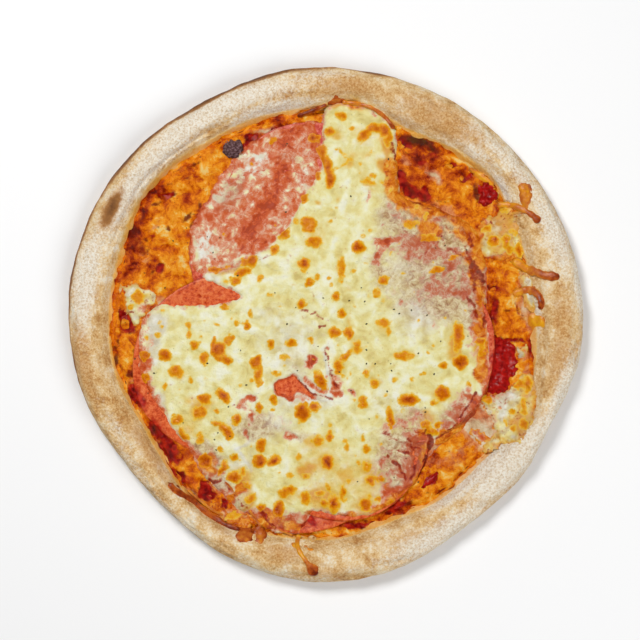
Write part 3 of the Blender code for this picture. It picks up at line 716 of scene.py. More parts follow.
upperLook = {
    "thickness": 2.1, "meshStep": 0.8,
    # count, reach, length, width and seed
    "shreds": (700, 122.0, 16.0, 3.8, 8),
    "outline": [
        (-1.5, 114), (-0.5, 123), (4.5, 127.5), (12, 128.5), (22, 126), (31, 122), (38, 116), (41.5, 109),
        (41.5, 103), (41.5, 97), (42, 90), (42, 83), (43.5, 77), (47, 73), (52, 70.5), (58, 69.5),
        (64, 68.5), (71, 64), (79, 62), (87, 56), (91, 48), (93, 40), (94, 30), (94, 20), (93.5, 12),
        (94, 4), (95, -10), (95.5, -22), (95, -34), (92, -45), (84, -57), (74, -66), (65, -71),
        (59.5, -80), (55, -90), (47.5, -97.5), (38, -105.5), (27, -111), (18, -112), (10, -111),
        (2, -109.5), (-6, -108.5), (-10, -111), (-11, -118), (-16, -121.5), (-26, -120.5), (-36, -118),
        (-44, -112), (-54, -104), (-63, -96), (-70, -89), (-75, -82), (-78, -72), (-84, -66), (-89, -60),
        (-93, -53), (-98, -46), (-103, -38), (-107, -30), (-108.5, -18.5), (-108, -6.5), (-106, 3),
        (-98, 10.5), (-90, 11), (-82, 10), (-72.5, 10.5), (-61, 12), (-49, 14.5), (-50, 18), (-59, 21.5),
        (-71.5, 26), (-69, 29.5), (-59.5, 31), (-49, 34.5), (-40, 40.5), (-31.5, 47), (-23.5, 53.5),
        (-18.5, 60.5), (-16, 67.5), (-12.5, 73.5), (-8, 79), (-4.5, 85), (-2, 92.5), (-1.5, 101),
    ],
    "film": [
        (-2.5, 117), (-14.5, 117.5), (-27, 114), (-39, 109), (-50, 101), (-59, 89), (-67, 76),
        (-76, 62.5), (-80, 48.5), (-79, 34), (-73, 26.5), (-64, 27.5), (-49, 32.5), (-38.5, 38),
        (-23.5, 50), (-16, 62.5), (-11.5, 72), (-4, 82.5), (-1.5, 95),
    ],
    "filmVeil": 0.53,
    "bare": [
        (-29.5, -33.5), (-20, -31), (-18.5, -29), (-15, -33), (-10, -38.5), (-4, -44), (-9, -42),
        (-14, -39), (-17.5, -39.5), (-19, -45.5), (-24, -41.5), (-29, -40.5),
    ],
    # pale folds of stretched cheese: width, strength, route
    "folds": [
        (2.2, 1, [(-15, -31), (-11, -36), (-6, -40), (-1, -42), (3, -41)]),
        (1.8, 0.9, [(0, -17), (1, -24), (2.5, -31), (2, -38)]),
        (1.6, 0.7, [(3, -24), (4.5, -31), (8, -36)]), (1.8, 0.7, [(-8, -40), (-2, -44.5), (4, -44)]),
        (1.6, 0.6, [(-60, -93), (-54, -99), (-48, -106)]),
        (1.6, 0.7, [(-49, -75), (-45, -80), (-43, -85)]),
        (1.8, 0.7, [(-52, -72), (-47, -71), (-44, -68)]), (1.8, 0.6, [(66, -50), (71, -55), (76, -58)]),
        (1.8, 0.6, [(-40, 41), (-34, 34), (-28, 31)]), (1.6, 0.6, [(40, -76), (44, -83), (47, -86)]),
        (1.5, 0.6, [(60, 37), (66, 35.5), (72, 37)]), (1.5, 0.5, [(76, 24), (84, 22), (89, 24)]),
    ],
    # cheese thinned so that the sausage shows, below zero where it is thick
    "thin": [
        (64, 27, 64, 62, 0.34, -20), (54, 45.5, 28, 10, 0.5, -5), (48.5, 39, 6, 6, 0.5),
        (34.5, 47.5, 10, 4.5, 1, 15), (33, 56, 3, 7, 0.3, 35), (72, 32.5, 4, 4, 0.9),
        (63, 59, 8, 8, 0.4), (78, 18, 16, 5, 0.4), (88, -46, 12, 26, 0.6, -36), (80, -57, 12, 8, 0.6, 40),
        (87, -48, 4, 6, 0.9, 10), (85, -57, 9, 5, 1.2, 40), (77, -58, 4, 9, 0.8, -35),
        (93, -26, 6, 22, 0.5), (48, -97, 14, 5, 0.9, 30), (31, 38, 6, 10, 0.4), (62, 20, 16, 7, 0.3),
        (80, 19, 22, 8, 0.25), (84, 27, 10, 10, 0.2, -20), (90, 6, 9, 12, 0.75), (44, 13, 4, 5, 0.35),
        (87, -4, 8, 8, 0.3), (86, -14, 10, 12, 0.25), (83, 8, 10, 6, 0.2), (72, 42, 12, 10, 0.2),
        (86, 40, 8, 12, 0.45), (70, 47, 8, 9, -0.25), (44, 33, 12, 14, -0.35), (66, 12, 14, 8, -0.25),
        (76, 10, 12, 5, -0.3), (78, 2, 12, 8, -0.35), (50, 22, 12, 14, -0.25), (80, 46, 8, 7, -0.2, -40),
        (46, 2, 16, 12, -0.25), (25, 73, 3, 9, 0.55, -35), (40, 66, 16, 12, 0.22), (48, 60, 14, 8, 0.25),
        (43, -79, 30, 38, 0.46, -12), (46, -84, 10, 12, 0.1), (52, -66, 12, 8, 0.35),
        (72, -54, 10, 24, 0.5, -35), (50, -54, 18, 12, 0.25), (40, -98, 16, 6, 0.8, 10),
        (46, -91, 12, 10, 0.5), (53, -80, 6, 20, 0.4, -10), (39, -91, 8, 8, -0.3),
        (44, -67, 12, 6, -0.25), (30, 42, 5, 7, 0.5), (38, -70, 8, 8, -0.2), (48, -77, 12, 3, -0.4, -20),
        (28, -106, 24, 5, 0.3, 12), (37, -60, 8, 8, 0.2), (80, -42, 10, 12, 0.25),
        (-30, -57, 30, 12, 0.25, -8), (-12, -40, 26, 16, 0.35, -25), (6, -38, 10, 20, 0.3, -20),
        (-42, -52, 4, 10, 0.8, 10), (-45, -64, 3, 8, 0.8, 25), (-44, -44, 8, 3, 0.7, 25),
        (-20, -65, 8, 4, 0.8, -20), (-8, -22, 5.5, 5.5, 1.9, 20), (5.5, -33, 3, 8, 0.8, 25),
        (1.5, -13.5, 4, 3, 0.9), (16, -40, 6, 4, 0.6, -20), (-3, -38, 12, 5, 0.5, -30),
        (7, -41, 7, 4, 0.7, 30), (0, -30, 5, 16, 0.3, 10), (-9, -36, 6, 8, 0.5, 40),
        (-10, 8, 9, 3, 0.3, -30), (2, 3, 5, 2, 0.5, -30), (-50, -48, 10, 4, 0.5, 20),
        (-36, 67, 46, 12, 0.32, 62), (-43, 54, 12, 16, 0.25, -30), (-25, 89, 10, 12, 0.3, -20),
        (-62, 62, 14, 18, 0.1), (-28, 70, 12, 12, 0.2), (-20, 102, 16, 8, 0.2), (-47, 82, 6, 8, 0.3),
        (-14, 112, 22, 7, 0.25, 10), (-8, 101, 12, 8, 0.1, -20), (-34, 46, 10, 8, 0.25),
        (-24, 106, 14, 8, 0.2), (-38, 96, 10, 12, -0.25, 30), (-48, 88, 14, 7, -0.2, 30),
        (-69, 45, 12, 16, -0.25), (-62, 73, 7, 4, -0.8), (-55, 78, 12, 5, -0.2, 20),
        (-50, 37, 14, 4, -0.4, 20), (-14, 96, 8, 6, -0.25), (-10, 78, 8, 10, -0.25),
        (-44, 48, 16, 10, 0.3, -10), (-66, -77, 10, 8, 0.4), (36, -95, 8, 8, 0.4), (90, -27, 6, 10, 0.4),
        (-76, 38, 6, 12, -0.3), (-15, 66, 5, 8, -0.5), (-28, 50, 6, 5, -0.3), (-60, 83, 6, 8, -0.2),
        (-20, 116, 20, 3, -0.4, 8), (-19, 61, 4, 5, -0.4), (-103, -2, 8, 8, 0.4),
        (-105, -20, 11, 20, 0.75), (-104, -34, 10, 16, 0.75, 8), (-97, -48, 7, 12, 0.5, 25),
        (55, -74, 9, 28, 0.6, -8), (-76, -75, 18, 6, 0.5, -42), (-66, -84, 16, 14, 0.55, -38),
        (-60, -95, 14, 10, 0.45, -38), (-51, -99, 5, 18, 0.6, -45), (-42, -112, 10, 14, 0.7, -20),
        (-32, -113, 12, 10, 0.7), (-20, -115, 16, 12, 0.7), (-34, -111, 5, 6, 0.8),
        (-20, -117, 8, 5, 0.6), (-30, -118, 20, 5, 0.5, 10), (-62, -92, 9, 6, -0.5, -20),
        (-48, -104, 7, 8, -0.5), (-12, -118, 5, 7, 0.6), (-63, -81, 6, 4, -0.3),
    ],
    # greyish white, milky places
    "milky": [
        (-42, 92, 20, 12, 0.9, 30), (-62, 72, 14, 10, 0.9, 40), (-70, 46, 14, 20, 0.8),
        (-12, 84, 8, 24, 0.8), (-22, 64, 8, 12, 0.7), (-18, 61, 4, 6, 0.8), (100, -58, 8, 12, 0.6),
        (-20, -10, 50, 44, 0.6), (-99, -10, 9, 40, 0.9), (-95, -44, 8, 14, 0.8, 25),
        (-14, -42, 40, 24, 0.7, -20), (-38, 8, 24, 10, 0.3), (-30, -60, 40, 18, 0.5),
        (54, 6, 36, 34, 0.8), (48, 32, 20, 24, 0.6), (38, 64, 18, 14, 0.8), (-68, 44, 14, 14, 0.6),
        (-38, 94, 14, 14, 0.8), (15, 70, 20, 30, 0.3), (80, 8, 24, 12, 0.35), (-65, 27, 16, 7, 0.8, 20),
        (39, -92, 9, 8, 0.9), (44, -68, 18, 12, 0.7), (-62, -92, 10, 8, 0.9, -20),
        (-24, -112, 20, 8, 0.6), (-95, -1, 12, 14, 0.7), (-50, -82, 24, 26, 0.6, 30),
        (-64, -68, 16, 12, 0.2), (36, -45, 40, 26, 0.45), (-75, 0, 30, 14, 0.3), (-62, 73, 8, 6, 0.8),
        (25, -104, 30, 8, 0.5, 10),
    ],
    # dull beige places
    "dusky": [
        (64, 40, 60, 52, 0.9), (80, 30, 34, 54, 0.7), (50, 14, 34, 26, 0.4), (56, 62, 40, 24, 0.8),
        (84, 6, 18, 22, 0.6), (45, -78, 36, 44, 1.1), (76, -54, 16, 30, 1, -36), (52, -52, 20, 12, 0.5),
        (-14, -24, 30, 24, 0.35), (-64, -92, 26, 18, 0.9, -30), (-48, -104, 16, 16, 0.6),
        (-30, -114, 36, 12, 0.8), (36, 64, 14, 20, 0.5), (30, 34, 12, 20, 0.4), (10, -111, 50, 6, 0.7),
        (-100, -50, 8, 30, 0.3, 30), (68, 7, 18, 10, 0.5), (86, 36, 10, 14, 0.5),
        (-54, 76, 32, 14, 0.9, 60), (-52, 34, 24, 8, 0.6, 10), (-40, -60, 34, 18, 0.95),
        (54, 68, 14, 8, 0.8), (-64, -77, 16, 8, 1, -30), (88, 10, 8, 14, 0.8), (-20, 96, 20, 10, 0.6),
        (-72, -71, 11, 9, 0.9), (-14, -65, 12, 8, 0.6), (35, 27, 9, 9, 0.9),
    ],
    # orange, oily places
    "oil": [
        (44, 73, 18, 10, 1, -40), (56, 67, 22, 9, 1, -10), (68, 65, 18, 7, 0.7, -25),
        (80, 60, 12, 8, 1, -45), (88, 50, 9, 22, 1.3, 10), (91, 38, 8, 12, 1.1, -5),
        (37, 88, 6, 22, 1.1), (61, 54, 15, 12, 1.2), (50, 59, 10, 6, 0.8), (57, -62, 10, 8, 0.8),
        (57, -76, 6, 22, 0.6, -10), (54, -91, 7, 12, 1.2, -20), (45, -98, 16, 6, 1, 30),
        (90, -50, 8, 22, 0.4, -36), (80, -62, 12, 8, 0.8, 40), (34, -106, 16, 6, 1, 20),
        (14, -111, 30, 5, 0.8), (-50, -93, 8, 14, 0.7, 10), (-68, -84, 12, 10, 0.8, -30),
        (-38, -116, 12, 8, 0.8), (-54, -101, 5, 18, 0.8, -40), (78, 40, 8, 5, 0.7, 20),
        (-30, -112, 24, 10, 0.6), (-18, -118, 14, 6, 0.7), (90, -3, 8, 14, 1), (92, -17, 6, 14, 1.2),
        (89, -29, 8, 12, 1.1, 5), (90, 14, 9, 18, 0.9), (86, 27, 9, 12, 0.8), (84, 37, 9, 8, 0.7),
        (78, 51, 14, 8, 0.8, -30), (69, -66, 16, 7, 1.3, 38), (-66, -77, 10, 8, 0.5),
        (42, 92, 4, 24, 1), (36, -95, 6, 6, 0.5), (-8, -109.5, 12, 4, 0.8),
        (16, 126.5, 18, 3, 0.8, -10), (-52, 32, 14, 4, 0.5, 15),
    ],
    # yellow and golden, oily places beside the marks and along the edges
    "warm": [
        (6, -84, 66, 36, 0.42), (-8, -68, 16, 12, 0.5), (30, -95, 40, 20, 0.4, 10),
        (-66, -74, 30, 12, 0.3, -40), (22, 102, 30, 40, 0.32), (74, -14, 8, 12, 0.7),
        (59, -54, 14, 8, 0.9), (36, 105, 7, 10, 0.9), (-3, -100, 16, 10, 0.8), (-44, -103, 8, 10, 0.9),
        (16, 126, 22, 4, 0.9, -10), (-54, 33, 16, 5, 0.8, 15), (-5, 52, 26, 16, 0.4, 10),
        (14, 94, 6, 9, 0.5, -35), (25, 82, 9, 4, 0.7, -10), (7.5, 72, 4, 6, 0.6, 20), (-5, 71, 5, 3, 0.7),
        (12, 63, 4, 8, 0.3, 10), (25, 98, 6, 3, 0.4), (-18, 23, 5, 4, 0.5), (-5, 17, 6, 3, 0.4, 20),
        (-26, 15, 6, 5, 0.4), (12, 22, 6, 7, 0.5), (8, 35, 4, 14, 0.5), (14, 2, 5, 10, 0.6, 15),
        (22, 6, 5, 3, 0.3), (34, -2, 9, 9, 0.5), (18, -14, 8, 14, 0.6, 20), (8, -22, 6, 12, 0.5, 15),
        (26, -26, 6, 8, 0.5, -30), (30, -34, 8, 6, 0.4), (-23, -19, 10, 4, 0.5),
        (-15, -5, 8, 3, 0.4, -30), (-85, -29, 12, 8, 0.6), (-70, -46, 14, 10, 0.6),
        (-74, -53, 10, 8, 0.6), (-60, -14, 10, 12, 0.4), (-62, -60, 16, 8, 0.4), (-84, -13, 8, 6, 0.3),
        (46, -18, 16, 6, 0.5), (76, -8, 8, 20, 0.6), (89, -14, 8, 12, 0.8), (67, -42, 14, 10, 0.5),
        (57, -57, 10, 9, 0.5), (40, 75, 9, 6, 0.9), (44, 68, 4, 4, 0.8), (49, 59, 7, 5, 0.9),
        (61, 53, 14, 10, 0.7), (75, 38, 6, 4, 0.8), (36, 92, 5, 12, 0.7), (36, 83, 4, 6, 0.6),
        (22, 110, 6, 5, 0.4, 40), (88, 44, 6, 10, 0.5), (24, -82, 8, 8, 0.4), (12, -88, 8, 8, 0.3),
        (-2, -80, 10, 10, 0.3), (43, 76, 14, 8, 1.1, -40), (54, 71, 18, 6, 1.1, -5),
        (68, 66, 18, 6, 1, -25), (80, 58, 14, 7, 1.1, -45), (88, 50, 7, 10, 1, 20),
        (91.5, 32, 4, 18, 0.7, 5), (37, 90, 5, 18, 1.2), (-11, -84, 9, 8, 0.9), (34, 92, 6, 8, 0.8),
        (-47, -93, 8, 12, 0.7), (-48, -110, 10, 7, 1), (-70, -80, 10, 10, 0.9), (-36, -117, 10, 6, 0.9),
        (24, -107, 16, 8, 0.6), (2, -107, 20, 5, 0.5), (55, -92, 5, 10, 1.1, -20),
        (84, -48, 4, 12, 0.8, -30), (6, 110, 10, 8, 0.5), (28, 77, 7, 6, 0.4), (-78, -45, 9, 9, 0.4),
        (89, -13, 5, 6, 0.5), (-18, -100, 30, 8, 0.35), (-46, -88, 14, 10, 0.4, -30),
        (-80, -60, 16, 10, 0.5, -40), (4, 127, 16, 4, 0.9),
    ],
    # deep red-brown along the slices' edges, the sausage's own edge and painted shade in the gaps between
    # the layers: width, strength, route
    "shadedSeams": [
        (2.8, 1.0, [
            (59, -62), (62, -66.5), (60.5, -71), (58.5, -76), (57.5, -81), (55.5, -86), (54.5, -91)]),
        (1.6, 0.7, [(78, -57), (72, -62), (65, -66)]), (1.6, 0.8, [(88, -40), (82, -48), (77, -56)]),
        (2.4, 0.8, [(92.5, 10), (93, 3), (92, -2)]), (1.8, 0.5, [(-14, 9), (-9, 6.5), (-5, 6), (-1, 3)]),
        (2, 0.7, [(3.5, -27), (4.5, -32), (7, -36)]), (1.4, 0.7, [(14, -38), (15.5, -39), (15, -42)]),
        (2.6, 0.55, [(49, 73), (54, 69.5), (60, 67)]), (2.4, 0.6, [(83, 15), (86, 10), (88, 4)]),
        (2.4, 0.6, [(81, 45), (84, 39), (85, 32)]), (2.4, 0.7, [(84, 33), (86, 27), (86, 20)]),
        (2.2, 0.6, [(41, 95), (40, 100), (38.5, 105)]), (3.6, 0.8, [(86, 36), (88, 31), (92, 25)]),
        (2.4, 0.6, [(86, 31), (89, 26), (91, 21)]),
        (1.6, 0.6, [(66, 50), (70, 46), (74, 42), (80, 39), (84, 37)]),
        (1.2, 0.5, [(68, 60), (72, 52), (80, 49)]), (1.2, 0.4, [(46, 54), (52, 50), (58, 47)]),
        (2, 0.6, [(34, -62), (40, -66), (47, -70), (55, -72)]),
        (2.2, 0.6, [(36, -76), (42, -82), (47, -90)]),
        (2.4, 0.7, [(48, -66), (52, -74), (53, -82), (50, -90)]),
        (1.6, 0.5, [(58, -64), (52, -62), (46, -60)]),
        (3, 0.7, [(-36, -110), (-33, -113), (-29, -118)]),
        (1.4, 0.5, [(-58, -92), (-52, -99), (-46, -107)]), (1.2, 0.8, [(-4, -1.5), (-2, -1), (0, -1)]),
        (1.6, 0.6, [(83, 37), (86, 35), (88, 33)]), (1.1, 0.5, [(74, 43), (78, 41), (82, 37)]),
        (1.2, 0.5, [(69, 46), (72, 43), (74, 42)]), (1.6, 0.5, [(92, 24), (92.5, 20), (91, 15)]),
        (1, 0.4, [(43, -47), (49, -48), (54, -46)]),
        (1.1, 0.45, [(31, -64), (34, -63), (36, -66), (40, -66)]),
        (1.2, 0.7, [(37, -73), (44, -74), (50, -75), (54, -78)]),
        (1, 0.4, [(32, -80), (34, -84), (36, -82)]), (1, 0.4, [(51, -52), (56, -52), (58, -55)]),
        (1.1, 0.4, [(-46, -49), (-50, -47), (-55, -48)]),
        (1.4, 0.6, [(-15, -33), (-10, -38), (-5, -41.5), (3, -43)]),
        (1.3, 0.6, [(0.5, -14), (2, -22), (4, -30), (7, -37)]),
        (1.3, 0.6, [(-15, 117), (-8, 119.5), (-2, 121)]), (1.2, 0.4, [(-28, 42), (-35, 38), (-44, 34)]),
        (1, 0.4, [(-70, 35), (-66, 38), (-60, 38)]), (1.4, 0.55, [(58, 41), (64, 45), (68, 52)]),
        (1, 0.4, [(70, 56), (76, 50), (83, 46)]), (2.4, 0.8, [(-12.5, -121), (-13, -116), (-11, -114)]),
        (3.4, 0.7, [(-67, -91), (-64, -92), (-61, -91)]),
        (1.4, 0.5, [(-9, -109.5), (-4, -108.5), (2, -109)]),
        (1.3, 0.5, [(-47, -115), (-44, -111), (-41, -109)]),
        (1.2, 0.5, [(57, 72), (63, 70), (70, 63), (78, 58)]), (1.6, 0.6, [(84, 52), (84, 48), (85, 45)]),
    ],
    "brown": [
        (-9.5, 57.5, 9.3, 9.9, 0.6), (-6, 47.5, 10.5, 5.8, 0.6), (-12, 35, 5.8, 5.8, 0.9),
        (-9, 24, 5.2, 5.2, 0.6), (-4.5, 27.5, 2.9, 2.9, 0.4), (-23.5, 52, 7, 4.1, 0.75, 40),
        (-29, 43, 4.7, 6.4, 0.65), (-42, 36.5, 5.8, 7.6, 0.85), (-49, 29.5, 6.4, 5.2, 0.7),
        (-52, 25, 5.8, 5.2, 0.7), (-64, 31.5, 7, 3.5, 1.1, -10), (-47, 36, 5, 4, 0.8, 20),
        (-37.5, 26.5, 2.9, 4.7, 0.5), (-31.5, 16.5, 5.8, 2.9, 0.3), (-58, 10, 5.8, 4.1, 0.55),
        (-43, 6, 2.9, 3.5, 0.4), (-45.5, -0.5, 4.7, 5.2, 0.65), (-75.5, -12.5, 5.2, 5.2, 0.7),
        (-70, -20, 4.7, 7, 0.7), (-55.5, -9, 7, 4.7, 0.5, 45), (-61.5, -15, 7.6, 8.2, 0.85),
        (-57, -20, 7, 4.1, 0.75, -30), (-31.5, -12, 4.1, 5.8, 0.7), (-19.5, -11, 5.8, 4.1, 0.75),
        (-8, -9, 4.1, 3.5, 0.35), (-40, -22, 7, 7, 0.75), (-38.5, -29.5, 4.1, 10.5, 0.75),
        (-28.5, -28.5, 5.2, 2.9, 0.5), (-23.5, -19.5, 5.8, 3.5, 0.25), (-13.5, 11.5, 5.2, 4.7, 0.7),
        (6, 15.5, 4.7, 4.7, 0.6), (10, 6, 4.7, 5.2, 0.6), (5.5, -5, 7, 5.8, 0.8),
        (13.5, -5.5, 4.7, 7, 0.75), (9.5, 33, 4.7, 12.8, 0.45), (19, 44.5, 7.6, 6.4, 0.85),
        (30, 18, 4.7, 5.8, 0.42), (34, 25.5, 5.8, 5.2, 0.8), (65, 31, 8.7, 3.5, 0.85, 8),
        (74.5, 38.5, 7, 3.5, 0.6, 30), (33.5, 0.5, 8.2, 4.7, 0.5), (36.5, -4.5, 2.9, 5.8, 0.4),
        (18.5, -13.5, 4.7, 8.2, 0.5), (12.5, -18, 8.2, 3.5, 0.6, 40), (7.5, -25, 4.7, 8.2, 0.65),
        (45.5, -18.5, 12.8, 4.7, 0.5), (24, -28.5, 4.7, 4.7, 0.45), (28.5, -34.5, 5.2, 4.7, 0.6),
        (68.5, -24, 4.7, 3.5, 0.8), (76, -13.5, 3.5, 7, 0.5), (-57, 33, 6, 3, 0.5),
        (-46, 30, 7, 4, 0.7, 10), (36, 105.5, 4, 6, 0.5), (-3, -98, 6, 4, 0.45),
        (-43, -101, 5, 7, 0.5, -30), (57, -28.5, 4.7, 2.9, 0.35), (77, -6.5, 5.8, 15.1, 0.75),
        (78.5, -22, 8.2, 7.6, 0.9), (89.5, -10, 5.8, 4.7, 0.8), (91, -16, 4.1, 8.2, 0.5),
        (-2.5, -33, 5.2, 11.7, 0.8, 25), (48.5, -44, 11.1, 7, 0.9), (68, -40, 8.2, 8.2, 0.75),
        (63, -45.5, 5.2, 3.5, 0.55), (83, -34.5, 3.5, 3.5, 0.35), (38, -55, 4.7, 12.8, 0.8, 12),
        (58.5, -58.5, 7, 4.7, 0.6, -40), (65.5, -58, 4.1, 4.1, 0.7), (61.5, -62.5, 7, 3.5, 0.8),
        (22, -45.5, 4.7, 7, 0.45), (17, -44.5, 2.3, 2.3, 0.4), (-13, -51, 8.2, 11.1, 0.85),
        (-6, -48, 4.7, 5.8, 0.8), (-29.5, -43.5, 4.7, 5.8, 0.6), (-59, -41.5, 9.3, 5.2, 0.9, -40),
        (-69.5, -43.5, 7, 5.8, 0.7), (-72.5, -51, 8.2, 7, 0.6), (-63, -50.5, 2.9, 2.9, 0.6),
        (-38, -49, 4.1, 5.8, 0.6), (-51, -55.5, 5.8, 5.8, 0.8), (-57, -62, 10.5, 5.2, 0.8, -50),
        (-63, -57.5, 5.8, 3.5, 0.6), (-72.5, -66.5, 4.7, 7, 0.5), (-37, -70, 5.8, 8.2, 0.7),
        (-38, -79.5, 7.6, 7, 0.85), (-29.5, -79, 7.6, 5.2, 0.95, 25), (-4.5, -68, 7, 4.7, 0.6),
        (2.5, -65, 4.7, 5.2, 0.7), (24, -72, 5.2, 4.7, 0.48), (12.5, -71.5, 2.9, 4.7, 0.35),
        (1.5, -79.5, 6.4, 8.2, 0.9), (24, -82.5, 5.2, 5.2, 0.55), (26, -90.5, 4.7, 4.7, 0.8),
        (31.5, -89.5, 4.7, 3.5, 0.6), (13.5, -91, 3.5, 2.9, 0.3), (5, -104, 5.8, 9.3, 0.95),
        (2, -95, 2.3, 5.8, 0.5, 20), (10, -97, 3.5, 8.2, 0.6), (23.5, -104.5, 7, 7.6, 0.75),
        (31, -101.5, 4.1, 2.9, 0.8), (37.5, -103, 5.2, 3.5, 0.8), (-93, -18, 8.2, 6.4, 0.75, -30),
        (-86.5, -27.5, 8.7, 7, 0.6), (-78, -32.5, 2.3, 3.5, 0.4), (-93, -36, 2.9, 3.5, 0.45),
        (-104.5, -18.5, 6.4, 6.4, 0.8), (-104, -31.5, 5.2, 7, 0.75), (-79.5, -1, 2.9, 4.1, 0.45),
        (-79, -6, 2.9, 5.2, 0.45), (-85.5, -55.5, 7.6, 5.8, 0.6), (-82, -64.5, 3.5, 8.2, 0.8, 35),
        (-69.5, -79, 8.7, 8.2, 0.85), (-59.5, -84, 4.1, 9.3, 0.85, -25), (-52.5, -89, 8.2, 6.4, 0.8),
        (-52.5, -77, 4.1, 5.2, 0.5), (-47.5, -85.5, 2.9, 5.8, 0.5), (-45.5, -93.5, 4.7, 4.7, 0.5),
        (-22, -97, 10.5, 5.8, 0.65, 20), (-11.5, -101, 5.8, 7, 0.65), (-1, -103.5, 5.2, 5.2, 0.65),
        (-37, -106.5, 5.8, 4.7, 0.75), (-27, -107.5, 6.4, 8.7, 0.95), (-11.5, -88, 4.1, 3.5, 0.5),
        (-20.5, -87.5, 4.7, 3.5, 0.35), (-15.5, -77, 2.9, 5.2, 0.35), (9.5, 120.5, 4.7, 7, 0.6, 50),
        (22.5, 109, 9.3, 4.7, 0.65, 50), (29.5, 113.5, 9.3, 5.2, 0.75), (34.5, 111.5, 6.4, 6.4, 0.85),
        (15.5, 113.5, 2.9, 2.9, 0.4), (2.5, 111, 6.4, 4.7, 0.7), (-6, 108, 8.2, 6.4, 0.85),
        (-30.5, 106.5, 7, 5.2, 0.5, -10), (-1.5, 100.5, 4.7, 7, 0.75, 10),
        (2, 91, 5.2, 12.8, 0.8, 12), (3, 83.5, 5.2, 9.3, 0.8), (13.5, 95, 2.9, 2.9, 0.35),
        (26, 82.5, 7, 3.5, 0.35, -20), (-43, 93, 3.5, 3.5, 0.6), (-4, 85.5, 4.1, 4.7, 0.6),
        (-12, 73, 5.2, 5.8, 0.6), (-58, 52, 2.9, 2.9, 0.5), (-29, 57, 2.9, 2.9, 0.5),
        (50, 58, 9, 5, 0.4), (60, 49.5, 12, 3.6, 0.6),
    ],
    "smallBrown": {"seed": 77, "count": 170, "reach": 106.0, "size": (1.2, 3.2), "strength": (0.2, 0.55)},
    # curved browned trails and yellow smears: width, strength, route
    "trails": [
        (3.4, 0.62, [(20, 107), (24, 112), (30, 114), (35, 112), (37, 108)]),
        (4.2, 0.62, [(-3, 101), (-1, 96), (2, 90), (3, 83), (3, 80)]),
        (2.6, 0.24, [(9, 100), (12, 97), (15, 95)]), (2.2, 0.2, [(5, 90), (9, 91), (13, 94)]),
        (2.4, 0.3, [(9, 38), (10, 31), (9, 25)]), (2.6, 0.2, [(21, 83), (26, 81)]),
        (2.2, 0.62, [(-64, -8), (-66, -14), (-63, -20), (-57, -22)]),
    ],
}


def smallMarks():
    # small browned marks scattered over the cheese
    small = upperLook["smallBrown"]
    rng = np.random.default_rng(small["seed"])
    marks = []
    for _ in range(small["count"]):
        angle = rng.random() * 2.0 * np.pi
        out = small["reach"] * math.sqrt(rng.random())
        length = rng.uniform(*small["size"])
        width = length * rng.uniform(0.5, 1.2)
        turn = rng.uniform(0.0, 180.0)
        strength = rng.uniform(*small["strength"])
        marks.append((out * math.cos(angle), out * math.sin(angle), length, width, strength, turn))
    return marks


def drawUpperCheese(covered):
    # thickness inside the outline with a rounded edge, thinned by the veil; a thin uneven film elsewhere
    full = outlineDepth(upperLook["outline"], warpX, warpY)
    film = outlineDepth(upperLook["film"], looseX, looseY)
    bare = outlineDepth(upperLook["bare"])
    shreds, shredTone = strandMaps(*upperLook["shreds"])
    shreds = 0.6 * blurred(shreds, 0.8) + 0.3 * (1.0 + lumps(rasterX, rasterY, 5.0, 98, 3))
    thinHills = bellMap(upperLook["thin"], looseX, looseY)
    inFilm = softStep((film - full) / 3.0) * softStep((3.0 - full) / 4.0)
    nearEdge = softStep(1.0 - full / 4.0) * 0.3 * (1.0 - inFilm)
    veil = thinHills + nearEdge + (upperLook["filmVeil"] + 0.35 * softStep(1.0 - film / 5.0)) * inFilm
    veil = np.clip(veil, 0.0, 1.0)
    uneven = softStep(veil / 0.3)
    veil = veil + uneven * (0.26 * lumps(looseX, looseY, 3.4, 95, 3) - 0.22 * (shreds - 0.45))
    veil = np.maximum(np.clip(veil, 0.0, 1.0), 0.92 * softStep(1.0 + bare))
    # dark seams along the slices' edges: the sausage's edge and painted shade in the gaps
    shadedSeams = routeMap(upperLook["shadedSeams"], crispX, crispY)
    apart = (1.0 - softStep(shadedSeams / 0.3)) * (1.0 - inFilm)
    brown = ovalMap(upperLook["brown"], crispX, crispY, 0.38, 0.3, 0.3)
    brown = np.maximum(brown, ovalMap(smallMarks(), warpX, warpY, 0.4, 0.2, 0.2) * apart)
    brown = np.maximum(brown, routeMap(upperLook["trails"], warpX, warpY))
    folds = routeMap(upperLook["folds"], warpX, warpY)
    warm = bellMap(upperLook["warm"], looseX, looseY) + 1.1 * blurred(brown, 1.3)
    warm = warm + 0.25 * np.clip(lumps(looseX, looseY, 9.0, 99, 3) - 0.15, 0.0, 1.0)
    melt = 0.6 * lumps(rasterX, rasterY, 12.0, 81, 3) + 0.5 * (shreds - 0.4)
    thickness = (upperLook["thickness"] + melt) * (1.0 - 0.75 * veil)
    fullTop = np.where(full > 0.0, thickness * roundedEdge(full / 2.6), full * 0.5) - 0.3
    lace = 0.62 * (1.0 - veil) + 0.16
    filmTop = np.where(film > 0.0, lace * softStep(film / 2.0), film * 0.4) - 0.1
    bedding = blurred(covered, 1.6) * (1.0 - 0.85 * veil) + covered * 0.85 * veil
    top = np.maximum(bedding + fullTop - 0.5 * softStep((0.6 + bare) / 1.2), covered + filmTop)
    inside = np.maximum(full, film)
    top = top + 0.4 * softStep((brown - 0.15) / 0.4) - 0.5 * shadedSeams + 0.7 * folds * (inside > 1.0)
    maps = {
        "brown": brown, "seamShade": shadedSeams, "warm": warm, "veil": veil * (1.0 - 0.7 * folds),
        # lighter where the shreds stand higher, painted light on their tops, with each shred's own random
        # tone
        "shredLightAndTone": np.clip(shreds + 0.18 * shredTone, 0.0, 1.2),
        "milky": bellMap(upperLook["milky"], looseX, looseY) + 0.8 * folds,
        "oil": bellMap(upperLook["oil"], looseX, looseY),
        "dusky": bellMap(upperLook["dusky"], looseX, looseY),
    }
    return top, inside, maps


